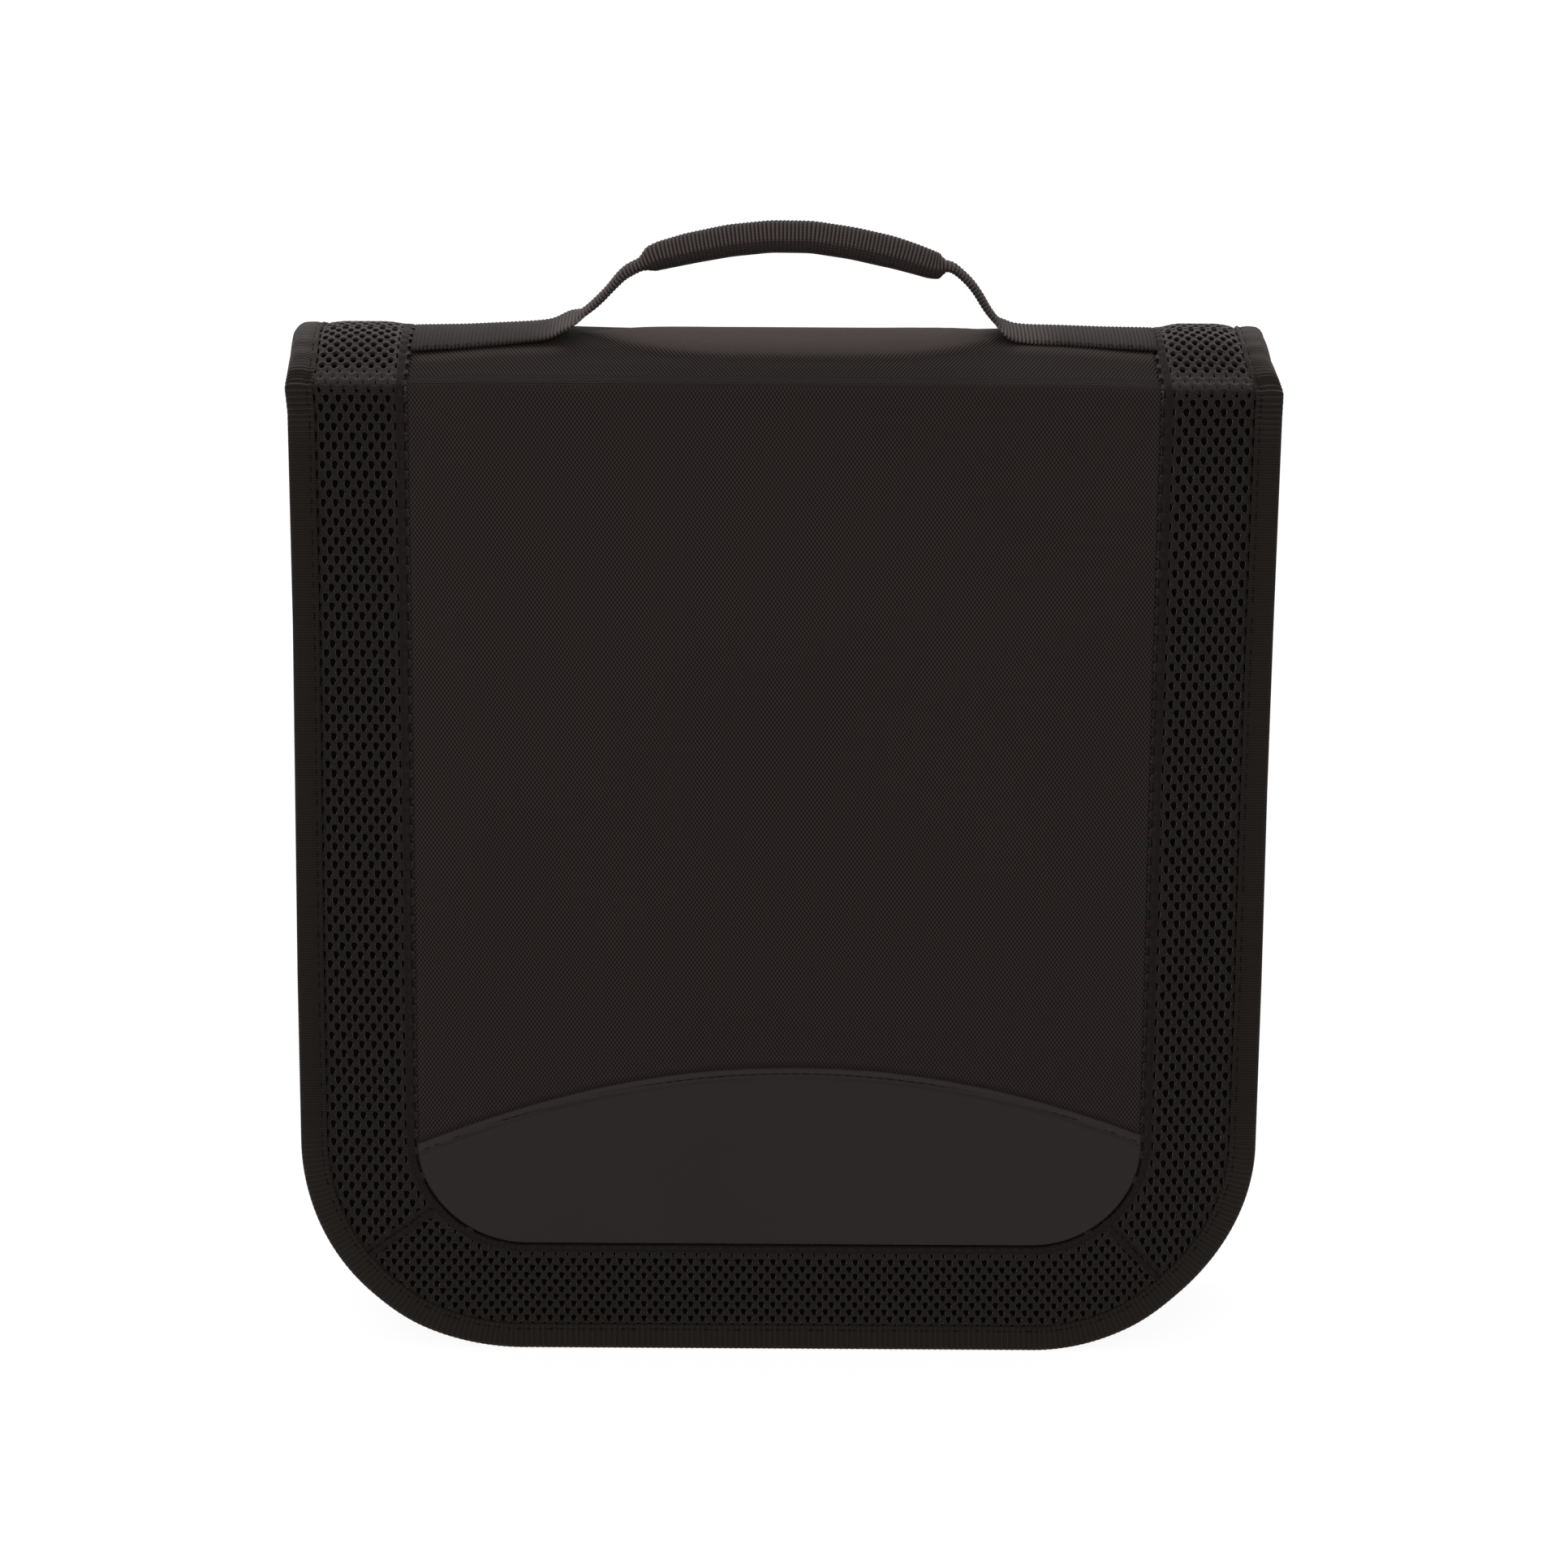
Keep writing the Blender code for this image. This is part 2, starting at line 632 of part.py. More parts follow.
def strap_section(place, along, curl):
    """Ring of points across the webbing: flat where the curl is 0, wrapped round the core where it is 1."""
    half = WEBBING_WIDTH / 2
    full_angle = half / ((WEBBING_WIDTH + GRIP_SLIT) / (2 * math.pi))
    up = (-along[1], along[0])
    outer = []
    inner = []
    for step in range(WEBBING_ACROSS + 1):
        offset = half * (2 * step / WEBBING_ACROSS - 1)
        if curl * full_angle < math.radians(1):
            turn, across, drop = 0, offset, 0
        else:
            radius = half / (curl * full_angle)
            turn = offset / radius
            across = radius * math.sin(turn)
            drop = radius * (1 - math.cos(turn))
        for ring, shift in ((outer, WEBBING_THICKNESS / 2), (inner, -WEBBING_THICKNESS / 2)):
            lift = shift * math.cos(turn) - drop
            sideways = across + shift * math.sin(turn)
            ring.append((place[0] + up[0] * lift, sideways, place[1] + up[1] * lift))
    return [*outer, *reversed(inner)]


def make_handle(looks):
    """One webbing strap from end to end, lofted from flat to wrapped, and the core inside its grip."""
    stations, curls = strap_path()
    stations += [(-across, up) for across, up in reversed(stations[:-1])]
    curls += list(reversed(curls[:-1]))
    shape = bmesh.new()
    rings = []
    for index, place in enumerate(stations):
        before = Vector(stations[max(0, index - 1)])
        after = Vector(stations[min(len(stations) - 1, index + 1)])
        along = (after - before).normalized()
        section = strap_section(place, along, curls[index])
        rings.append([shape.verts.new(point) for point in section])
    count = len(rings[0])
    for first, second in zip(rings, rings[1:]):
        for step in range(count):
            following = (step + 1) % count
            shape.faces.new((first[step], first[following], second[following], second[step]))
    for ring in (rings[0], rings[-1]):
        for step in range(WEBBING_ACROSS):
            mate = count - 1 - step
            shape.faces.new((ring[step], ring[step + 1], ring[mate - 1], ring[mate]))
    bmesh.ops.recalc_face_normals(shape, faces=shape.faces)
    mesh = bpy.data.meshes.new("handle_webbing")
    shape.to_mesh(mesh)
    shape.free()
    strap = bpy.data.objects.new("handle_webbing", mesh)
    parts.objects.link(strap)
    finish(strap, looks["tape"])
    wrap_radius = (WEBBING_WIDTH + GRIP_SLIT) / (2 * math.pi)
    core_radius = wrap_radius - WEBBING_THICKNESS / 2 - GAP
    arc_radius = GRIP_ARC_RADIUS - wrap_radius
    crest = FACE_HEIGHT + SPINE_RISE + HANDLE_RISE - WEBBING_THICKNESS / 2 - wrap_radius
    reach = math.degrees(math.asin((GRIP_HALF_LENGTH - CURL_LENGTH / 2) / GRIP_ARC_RADIUS))
    route = arc((0, crest - arc_radius), arc_radius, 90 + reach, 90 - reach, GRIP_STEPS)
    core = tube("handle_core", [(across, 0, up) for across, up in route], 2 * core_radius)
    finish(core, looks["coil"])


def make_slider(hinge, looks):
    """Zip slider that grips both coils between two plates, with the bail that carries the pull."""
    coil = HALF_WIDTH - COIL_CENTRE
    plate_gap = COIL_DIAMETER / 2 + GAP
    top = FACE_HEIGHT - END_TAB_LENGTH - SLIDER_DROP
    low = top - SLIDER_LENGTH
    half = SLIDER_WIDTH / 2
    nose = SLIDER_NOSE_WIDTH / 2
    middle = low + SLIDER_LENGTH / 2
    outline = [(-nose, low), (nose, low), (half, middle), (half, top), (-half, top), (-half, middle)]
    slider_axis = make_empty("zip_slide_axis", (coil, 0, top), hinge)
    outer_face = coil + plate_gap
    slider = cross_plate("zip_slider", [outline], outer_face, outer_face + SLIDER_PLATE)
    inner_face = coil - plate_gap
    inner_plate = cross_plate("slider_inner_plate", [outline], inner_face - SLIDER_PLATE, inner_face, tools)
    post = COIL_SPACING / 2 - GAP
    bury = SLIDER_PLATE / 2
    bridge_low = (inner_face - bury, -post, top - SLIDER_BRIDGE)
    bridge_high = (outer_face + bury, post, top - GAP)
    bridge = box("slider_bridge", bridge_low, bridge_high, tools)
    foot = outer_face + SLIDER_PLATE - bury
    crown = outer_face + SLIDER_PLATE + BAIL_RISE - BAIL_WIRE / 2
    leg = (BAIL_LENGTH - BAIL_WIRE) / 2
    shoulder = crown - BAIL_WIRE
    bail_path = [
        (foot, 0, middle + leg),
        (shoulder, 0, middle + leg),
        (crown, 0, middle + leg - BAIL_WIRE),
        (crown, 0, middle - leg + BAIL_WIRE),
        (shoulder, 0, middle - leg),
        (foot, 0, middle - leg),
    ]
    bail = tube("slider_bail", bail_path, BAIL_WIRE, collection=tools)
    combine(slider, inner_plate, "UNION")
    combine(slider, bridge, "UNION")
    combine(slider, bail, "UNION")
    finish(slider, looks["metal"], slider_axis)
    make_pull(outer_face + SLIDER_PLATE, middle, slider_axis, looks)


def make_pull(plate_face, middle, slider_axis, looks):
    """Flat pull whose top bar hangs in the slider's bail."""
    opening = BAIL_RISE - BAIL_WIRE
    pivot_across = plate_face + opening / 2
    pivot = make_empty("zip_pull_axis", (pivot_across, 0, middle), slider_axis)
    half = PULL_WIDTH / 2
    top = middle + PULL_BAR / 2
    bottom = top - PULL_LENGTH
    outline = [(-half, top), *arc((0, bottom + half), half, 180, 360, 8), (half, top)]
    slot_half = BAIL_WIRE / 2 + 2 * GAP
    slot_top = middle - PULL_BAR / 2
    slot_bottom = middle - BAIL_LENGTH / 2 - BAIL_WIRE
    slot = [(-slot_half, slot_top), (-slot_half, slot_bottom), (slot_half, slot_bottom), (slot_half, slot_top)]
    low = pivot_across - PULL_THICKNESS / 2
    pull = cross_plate("zip_pull", [outline, slot], low, low + PULL_THICKNESS)
    finish(pull, looks["metal"], pivot)


def make_looks():
    """Materials of the case, warm near-black throughout."""
    return {
        "twill": make_material("black twill", (0.020, 0.016, 0.015), 0.80),
        "mesh": make_material("black air mesh", (0.015, 0.012, 0.011), 0.85),
        "tape": make_material("black grosgrain", (0.022, 0.019, 0.016), 0.75),
        "leatherette": make_material("black leatherette", (0.030, 0.024, 0.023), 0.50),
        "board": make_material("grey board", (0.10, 0.10, 0.10), 0.90),
        "lining": make_material("black lining", (0.018, 0.018, 0.018), 0.80),
        "film": make_material("page film", (0.09, 0.09, 0.10), 0.45),
        "zip_tape": make_material("black zip tape", (0.015, 0.015, 0.015), 0.85),
        "coil": make_material("black nylon", (0.020, 0.020, 0.020), 0.45),
        "metal": make_material("black nickel", (0.10, 0.10, 0.10), 0.35, 0.9),
    }


clear_scene()
parts = make_collection("disc wallet")
tools = make_collection("cutters and joined shapes")
materials = make_looks()
front_hinge = make_empty("front_cover_hinge", (0, -HALF_DEPTH, FACE_HEIGHT))
back_hinge = make_empty("back_cover_hinge", (0, HALF_DEPTH, FACE_HEIGHT))
make_spine(materials)
make_end_tabs(materials)
make_pages(materials)
make_handle(materials)
make_cover("front", FRONT, front_hinge, materials)
make_front_panels(front_hinge, materials)
make_cover("back", BACK, back_hinge, materials)
make_back_panel(back_hinge, materials)
make_slider(back_hinge, materials)
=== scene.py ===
"""Zip-round disc wallet in black cloth. It stands on its lower edge, with the spine and its handle on top."""
import math

import bmesh
import bpy
import numpy as np
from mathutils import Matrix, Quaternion, Vector


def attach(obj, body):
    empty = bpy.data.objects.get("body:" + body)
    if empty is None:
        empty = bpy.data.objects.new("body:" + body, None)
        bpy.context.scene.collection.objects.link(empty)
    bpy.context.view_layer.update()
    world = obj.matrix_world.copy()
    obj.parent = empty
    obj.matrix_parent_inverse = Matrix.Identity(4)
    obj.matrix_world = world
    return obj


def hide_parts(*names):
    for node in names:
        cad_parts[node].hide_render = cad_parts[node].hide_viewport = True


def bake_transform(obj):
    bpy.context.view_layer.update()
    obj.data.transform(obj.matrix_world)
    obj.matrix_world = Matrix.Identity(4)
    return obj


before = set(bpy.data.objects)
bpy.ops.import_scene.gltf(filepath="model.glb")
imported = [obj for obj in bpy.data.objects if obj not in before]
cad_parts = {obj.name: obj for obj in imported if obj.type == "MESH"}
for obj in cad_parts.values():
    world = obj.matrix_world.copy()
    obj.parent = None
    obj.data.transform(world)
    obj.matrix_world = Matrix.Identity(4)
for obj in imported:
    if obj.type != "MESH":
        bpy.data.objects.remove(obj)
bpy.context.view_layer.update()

# Camera at the photograph's height and distance: a long lens that looks down at the front cover.
# The scene is a white floor in soft light, with one broad lamp above and one in front.
camera_data = bpy.data.cameras.new("camera")
camera_data.sensor_width = 36
camera_data.lens = 118.66
camera_data.clip_start = 0.05
camera = bpy.data.objects.new("camera", camera_data)
bpy.context.scene.collection.objects.link(camera)
bpy.context.scene.camera = camera
looking_down = math.radians(17.479)
line_of_sight = Vector((0, math.cos(looking_down), -math.sin(looking_down)))
camera.rotation_mode = "QUATERNION"
camera.location = (0.0007, -1.5035, 0.6445)
roll = Quaternion((0, 0, 1), math.radians(0.34))
camera.rotation_quaternion = line_of_sight.to_track_quat("-Z", "Y") @ roll

bpy.context.scene.view_settings.view_transform = "Standard"


class Value:
    """One output of a material's nodes. Arithmetic on it adds Math nodes to the same material."""

    def __init__(self, tree, socket=None):
        self.tree = tree
        self.socket = socket

    def node(self, kind, settings=None, sockets=None, output=0):
        """Add a node: its settings first, then the values or links of its sockets. Hand back one output."""
        made = self.tree.nodes.new(kind)
        for name, setting in (settings or {}).items():
            setattr(made, name, setting)
        for name, value in (sockets or {}).items():
            if isinstance(value, Value):
                self.tree.links.new(value.socket, made.inputs[name])
            else:
                made.inputs[name].default_value = value
        return Value(self.tree, made.outputs[output] if made.outputs else None)

    def maths(self, operation, *values):
        return self.node("ShaderNodeMath", {"operation": operation}, dict(enumerate(values)))

    def __add__(self, other):
        return self.maths("ADD", self, other)

    def __radd__(self, other):
        return self.maths("ADD", other, self)

    def __sub__(self, other):
        return self.maths("SUBTRACT", self, other)

    def __rsub__(self, other):
        return self.maths("SUBTRACT", other, self)

    def __mul__(self, other):
        return self.maths("MULTIPLY", self, other)

    def __rmul__(self, other):
        return self.maths("MULTIPLY", other, self)

    def at_least(self, low):
        return self.maths("MAXIMUM", self, low)

    def at_most(self, high):
        return self.maths("MINIMUM", self, high)

    def without_sign(self):
        return self.maths("ABSOLUTE", self)

    def wave(self, pitch):
        """Smooth wave from 0 to 1 that repeats at a pitch."""
        return 0.5 + 0.5 * self.maths("SINE", self * (2 * math.pi / pitch))

    def between(self, low, high):
        """0 below the low value, 1 above the high one, and an even slope without corners in between."""
        settings = {"interpolation_type": "SMOOTHSTEP"}
        return self.node("ShaderNodeMapRange", settings, {"Value": self, "From Min": low, "From Max": high})

    def within(self, rise, fall):
        """0 before a rise and after a fall, and 1 between the two, with such slopes."""
        return self.between(*rise) * (1 - self.between(*fall))

    def noise(self, scale, detail=2.0):
        """Noise from 0 to 1 on this vector."""
        return self.node("ShaderNodeTexNoise", {}, {"Vector": self, "Scale": scale, "Detail": detail})

    def axes(self):
        """The three parts of this vector, in millimetres."""
        split = self.node("ShaderNodeSeparateXYZ", {}, {"Vector": self}).socket.node
        return [Value(self.tree, socket) * 1000 for socket in split.outputs]

    def tinted(self, dark, light):
        """Colour from dark, where this is 0, to light, where it is 1."""
        sockets = {0: self, 6: (*dark, 1), 7: (*light, 1)}
        return self.node("ShaderNodeMix", {"data_type": "RGBA"}, sockets, 2)


def seen_directly(paint):
    """Value that is 1 for what the camera, a reflection or clear film shows."""
    shown = paint.node("ShaderNodeLightPath", output="Is Camera Ray")
    for ray in ("Is Glossy Ray", "Is Transmission Ray"):
        shown = shown.at_least(paint.node("ShaderNodeLightPath", output=ray))
    return shown


SKY_LIGHT = 0.62
world = bpy.data.worlds.new("soft daylight")
bpy.context.scene.world = world
world.use_nodes = True
world.node_tree.nodes.clear()
sky = Value(world.node_tree)
sky_light = sky.node("ShaderNodeBackground", {}, {"Color": (1, 1, 1, 1), "Strength": SKY_LIGHT})
sky_white = sky.node("ShaderNodeBackground", {}, {"Color": (1, 1, 1, 1), "Strength": 1.0})
sky_shown = sky.node("ShaderNodeMixShader", {}, {0: seen_directly(sky), 1: sky_light, 2: sky_white})
sky.node("ShaderNodeOutputWorld", {}, {0: sky_shown})


def soft_lamp(name, place, target, width, power):
    """Hang a square area lamp that faces a point."""
    lamp_data = bpy.data.lights.new(name, "AREA")
    lamp_data.size = width
    lamp_data.energy = power
    lamp = bpy.data.objects.new(name, lamp_data)
    lamp.location = place
    lamp.rotation_mode = "QUATERNION"
    lamp.rotation_quaternion = (Vector(target) - Vector(place)).to_track_quat("-Z", "Y")
    bpy.context.scene.collection.objects.link(lamp)


soft_lamp("lamp_above", (-0.15, 0.85, 1.5), (0, 0, 0.3), 1.0, 5.5)
soft_lamp("lamp_front", (-0.5, -1.6, 1.1), (0, 0, 0.2), 0.9, 5.0)

floor_mesh = bpy.data.meshes.new("floor")
floor_mesh.from_pydata([(-9, -9, 0), (9, -9, 0), (9, 9, 0), (-9, 9, 0)], [], [(0, 1, 2, 3)])
floor = bpy.data.objects.new("floor", floor_mesh)
bpy.context.scene.collection.objects.link(floor)
floor_paint = bpy.data.materials.new("white floor")
floor_paint.use_nodes = True
floor_paint.node_tree.nodes.clear()
ground = Value(floor_paint.node_tree)
matt = ground.node("ShaderNodeBsdfDiffuse", {}, {"Color": (0.9, 0.9, 0.9, 1)})
white = ground.node("ShaderNodeEmission", {}, {"Strength": 1.15})
upper_side = ground.node("ShaderNodeMixShader", {}, {0: 0.8 * seen_directly(ground), 1: matt, 2: white})
under_side = ground.node("ShaderNodeBsdfTransparent")
seen_below = ground.node("ShaderNodeNewGeometry", output="Backfacing")
ground_shown = ground.node("ShaderNodeMixShader", {}, {0: seen_below, 1: upper_side, 2: under_side})
ground.node("ShaderNodeOutputMaterial", {}, {0: ground_shown})
floor_mesh.materials.append(floor_paint)


# Twill panels of the front and back covers. Each is one piece of polyester twill that runs from the
# crest of the spine over the fold and down its cover, with its edges turned under at the mesh seam.
# Lengths times MM are metres, for meshes, and bare ones are millimetres, as the materials read them.
MM = 0.001
HALF_WIDTH = 145 * MM
HALF_DEPTH = 37.5 * MM
CORNER_RADIUS = 68 * MM
CORNER_START = HALF_WIDTH - CORNER_RADIUS
SPINE_RADIUS = 91.89 * MM
SPINE_CENTRE = 219.11 * MM
FOLD_RADIUS = 5 * MM
SEAM_INSET = 35 * MM
SEAM_GAP = 0.1 * MM
TWILL_COLOUR = (0.0211, 0.0158, 0.0148)
TWILL_PITCH = 1.15
TWILL_ROW = 1.66
SPINE_ROW = 2.35
SPINE_END = 38
TWILL_CONTRAST = 0.448
WALE_SHOW = 1.9
TWILL_ROLL = 1.5 * MM
SHEEN_SPREAD = 0.3
CREASE = 34.5
CREASE_SHADE = ((30.5, 32.5), (35.5, 38.5))
STRAP_TURNS = 66
STRAP_EDGE = 11.4
STRAP_FEET = ((62, 69), (107, 111))
SEAT_MIDDLE = 5
SEAT_HALF = 69
SEAT_DEPTH = 19.5
SEAT_BEND = 29
ARCH_TOP = 93.3 * MM
ARCH_MIDDLE = 5 * MM
ARCH_BEND = 1.965
ARCH_RUN = 248.5
FRONT = -1
BACK = 1
COVERS = (("front", FRONT), ("back", BACK))
ENDS = (("left", -1), ("right", 1))


def finish_of(name, roughness, specular, sheen=0.0, metallic=0.0, coat=0.0):
    """Start a material: its even values are set, and the piece's own coordinates are there to build on."""
    material = bpy.data.materials.new(name)
    material.use_nodes = True
    shader = material.node_tree.nodes["Principled BSDF"]
    even = {
        "Roughness": roughness,
        "Specular IOR Level": specular,
        "Sheen Weight": sheen,
        "Sheen Roughness": SHEEN_SPREAD,
        "Sheen Tint": (0.95, 0.85, 0.83, 1),
        "Metallic": metallic,
        "Coat Weight": coat,
    }
    for socket, value in even.items():
        shader.inputs[socket].default_value = value
    return material, Value(material.node_tree).node("ShaderNodeTexCoord", output="Object")


def connect(material, colour, roughness=None, height=None, depth=0.1):
    """Lead a colour, a roughness and a relief of some depth in millimetres into the shader."""
    shader = material.node_tree.nodes["Principled BSDF"]
    links = material.node_tree.links
    links.new(colour.socket, shader.inputs["Base Color"])
    if roughness is not None:
        links.new(roughness.socket, shader.inputs["Roughness"])
    if height is not None:
        sockets = {"Height": height, "Distance": depth * MM, "Strength": 1.0}
        relief = height.node("ShaderNodeBump", {}, sockets)
        links.new(relief.socket, shader.inputs["Normal"])


def shade(colour, share):
    """A colour made darker or lighter by a share."""
    return tuple(channel * share for channel in colour)


def shades(colour, dark, light):
    """A darker and a lighter shade of a colour."""
    return shade(colour, dark), shade(colour, light)


def on_cloth(solid):
    """Where a point lies on the flat cloth, in millimetres: across or along it, and down it."""
    return solid.node("ShaderNodeUVMap", {"uv_map": "fabric"}).axes()[:2]


def below_arch(across, run):
    """How far below the foot panel's arched upper edge a point of the cloth lies, in millimetres."""
    off_middle = across - ARCH_MIDDLE / MM
    return run - (ARCH_RUN + ARCH_BEND * MM * off_middle * off_middle)


def twill_material(name, colour, over_spine=True, paint_lip_shadow=False):
    """Polyester twill: two crossing sets of fine diagonal wales. Over the spine one set stands out at either
    end, and the crest between the handle's feet is pressed smooth and painted lighter there as a sheen.
    Painted shade darkens the spine below that crest and along the crease, a painted highlight lightens a
    strip along the edge of each of the handle's flat feet, and the foot panel's lip casts a painted shadow on
    the twill just above it."""
    material, solid = finish_of(name, 0.85, 0.1, sheen=0.05)
    across, run = on_cloth(solid)
    wander = solid.noise(90, 3) * 0.12
    steps = across * (1 / TWILL_PITCH) + wander
    rows = (run.at_least(SPINE_END) - SPINE_END) * (1 / TWILL_ROW) + solid.noise(70, 3) * 0.12
    rows = rows + run.at_most(SPINE_END) * (1 / SPINE_ROW)
    falling, rising = (steps - rows).wave(1), (steps + rows).wave(1)
    even = (solid.noise(14, 3) - 0.5) * 0.25 + solid.noise(2600, 1).between(0.64, 0.8) * 0.3
    if over_spine:
        on_spine = 1 - run.between(31, 38)
        lean = (across.between(-50, 60) - 0.5) * 0.85 * on_spine
        weave = falling * (0.5 - lean) + rising * (0.5 + lean)
        near_crease = 1 - (run - CREASE).without_sign().between(0.8, 4.5)
        weave = weave * (1 - near_crease * 0.6) + (run + wander).wave(0.85) * (near_crease * 0.6)
        off_middle = (across - SEAT_MIDDLE) * (1 / SEAT_HALF)
        off_middle = off_middle * off_middle
        past_seat = run - (SEAT_DEPTH - SEAT_BEND * off_middle * off_middle)
        # The crest between the handle's feet is pressed smooth, so its weave and relief fade there, and it is
        # painted lighter there as a painted sheen. Below that crest the spine gets painted shade.
        pressed = 1 - past_seat.between(-3.5, 2.0)
        shaded = past_seat.between(-0.5, 3.0) * (1 - run.between(27, 38))
        aside = (across - 1).without_sign()
        on_left = 1 - across.between(-10, 10)
        skew = (aside - STRAP_TURNS).at_least(0) * (0.098 + 0.023 * on_left)
        past_strap = run - skew - (STRAP_EDGE + 2 * on_left)
        # Painted highlight on a strip of the spine cloth along the edge of each of the handle's flat feet.
        painted_strap_edge_highlight = aside.within(*STRAP_FEET) * past_strap.within((0, 1.2), (2, 7.5))
        # Painted shade along the crease of the fold.
        painted_crease_shade = run.within(*CREASE_SHADE)
        level = 0.5 + (weave - 0.5) * (WALE_SHOW + WALE_SHOW * on_spine) * (1 - 0.9 * pressed) + even
        level = level + pressed * (1.0 + 0.5 * solid.noise(700, 3)) + painted_strap_edge_highlight * 1.9
        level = level * (1 - 0.5 * shaded) * (1 - 0.5 * painted_crease_shade)
        relief = weave * (1 - 0.8 * pressed)
    else:
        relief = (falling + rising) * 0.5
        level = 0.5 + (relief - 0.5) * WALE_SHOW + even
    if paint_lip_shadow:
        # Painted shadow of the foot panel's lip on the twill just above it.
        level = level * (1 - 0.6 * below_arch(across, run).between(-3.4, -0.4))
    lightest = [0.004 + 2.95 * channel for channel in colour]
    tone = ((level + 0.12) * TWILL_CONTRAST).tinted(shade(colour, 0.25), lightest)
    connect(material, tone, 0.78 + 0.16 * solid.noise(14, 3), relief + solid.noise(900, 2) * 0.35, 0.2)
    return material


spine_lean = math.asin((HALF_DEPTH - FOLD_RADIUS) / (SPINE_RADIUS - FOLD_RADIUS))
FOLD_RUN = SPINE_RADIUS * spine_lean
FACE_RUN = FOLD_RUN + FOLD_RADIUS * (math.pi / 2 - spine_lean)
FOLD_TOP = SPINE_CENTRE + math.sqrt((SPINE_RADIUS - FOLD_RADIUS) ** 2 - (HALF_DEPTH - FOLD_RADIUS) ** 2)


def run_at(height):
    """Distance from the crest, along the cloth, of a height on a cover."""
    return FACE_RUN + FOLD_TOP - height


CORNER_RUN = run_at(CORNER_RADIUS)
BOTTOM_RUN = run_at(0)


def smooth(value, low, high):
    """Ease a number or an array from 0 at low to 1 at high."""
    share = np.clip((np.asarray(value, float) - low) / (high - low), 0, 1)
    return share * share * (3 - 2 * share)


LEFT_OUTWARD = (
    (0, 0.7), (20, 0.0), (32, 0.1), (38, 0.3), (46, -0.4), (110, -0.5), (160, 0.0), (220, 0.6), (280, 0.7),
    (345, 0.4),
)
RIGHT_OUTWARD = (
    (0, -2.6), (20, -2.0), (30, -0.6), (38, 0.4), (46, 0.2), (110, -0.2), (160, -0.3), (220, 0.0),
    (345, -0.2),
)
SWELL_LEFT = 2.0 * MM
SWELL_RIGHT = 2.8 * MM


def settled(across, run, height):
    """Shape that the true case takes: its sides stand in and out a little, the left corner is fuller, and the
    outer cloth swells up at the two ends of the spine."""
    reach = smooth(np.abs(across), 85 * MM, HALF_WIDTH)
    outward = [np.interp(run / MM, *zip(*table)) * MM for table in (LEFT_OUTWARD, RIGHT_OUTWARD)]
    shift = np.where(across < 0, -outward[0], outward[1]) * reach
    beyond = np.clip(np.abs(across) - CORNER_START, 1e-6, None)
    below = np.clip(run - CORNER_RUN, 0, None)
    angle = np.arctan2(below, beyond)
    fuller = np.sin(2 * angle) ** 2 * np.where(across < 0, 1.0, -1.1)
    fuller += 0.6 * np.sin(2 * angle) * smooth(angle, 0.8, 1.1)
    fuller *= MM * smooth(np.hypot(beyond, below), 30 * MM, CORNER_RADIUS)
    shift = shift + np.sign(across) * fuller * np.cos(angle)
    end = smooth(np.abs(across), 106 * MM, 120 * MM) * (1 - 0.7 * smooth(np.abs(across), 130 * MM, 142 * MM))
    swell = np.where(across < 0, SWELL_LEFT, SWELL_RIGHT) * end * (1 - smooth(run, 6 * MM, 33 * MM))
    return across + shift, run + fuller * np.sin(angle), height + swell * (height > -4.6 * MM)


def over_case(flat, side, depth=0.0, fold=FOLD_RADIUS):
    """Bend flat cloth (across, run, height) over the spine and one cover, at a depth under the outside."""
    across, run, height = settled(*np.asarray(flat, float).T)
    radius = SPINE_RADIUS - depth
    reach = HALF_DEPTH - depth - fold
    lean = math.asin(reach / (radius - fold))
    fold_run = radius * lean
    face_run = fold_run + fold * (math.pi / 2 - lean)
    fold_centre = SPINE_CENTRE + math.sqrt((radius - fold) ** 2 - reach ** 2)
    arched = run < fold_run
    turn = np.where(arched, run / radius, np.minimum(lean + (run - fold_run) / fold, math.pi / 2))
    arm = np.where(arched, radius, fold) + height
    out = np.where(arched, 0, reach) + arm * np.sin(turn)
    up = np.where(arched, SPINE_CENTRE, fold_centre) + arm * np.cos(turn)
    up -= np.clip(run - face_run, 0, None)
    return np.column_stack((across, side * out, up))


def sewn(name, points, faces, fabric, material):
    """Make a closed cloth piece. Its map 'fabric' holds the place of each point on the flat cloth."""
    mesh = bpy.data.meshes.new(name)
    mesh.from_pydata(np.asarray(points).tolist(), [], faces)
    return faced(name, mesh, fabric, material)


def faced(name, mesh, fabric, material):
    """Turn a closed mesh's faces outwards, map it, and put it in the scene with its material."""
    shape = bmesh.new()
    shape.from_mesh(mesh)
    bmesh.ops.recalc_face_normals(shape, faces=shape.faces)
    shape.to_mesh(mesh)
    shape.free()
    corners = np.empty(len(mesh.loops), int)
    mesh.loops.foreach_get("vertex_index", corners)
    layer = mesh.uv_layers.new(name="fabric")
    layer.data.foreach_set("uv", np.asarray(fabric)[corners, :2].astype(np.float32).ravel())
    mesh.materials.clear()
    mesh.materials.append(material)
    mesh.shade_smooth()
    mesh.set_sharp_from_angle(angle=math.radians(58))
    piece = bpy.data.objects.new(name, mesh)
    bpy.context.scene.collection.objects.link(piece)
    return piece


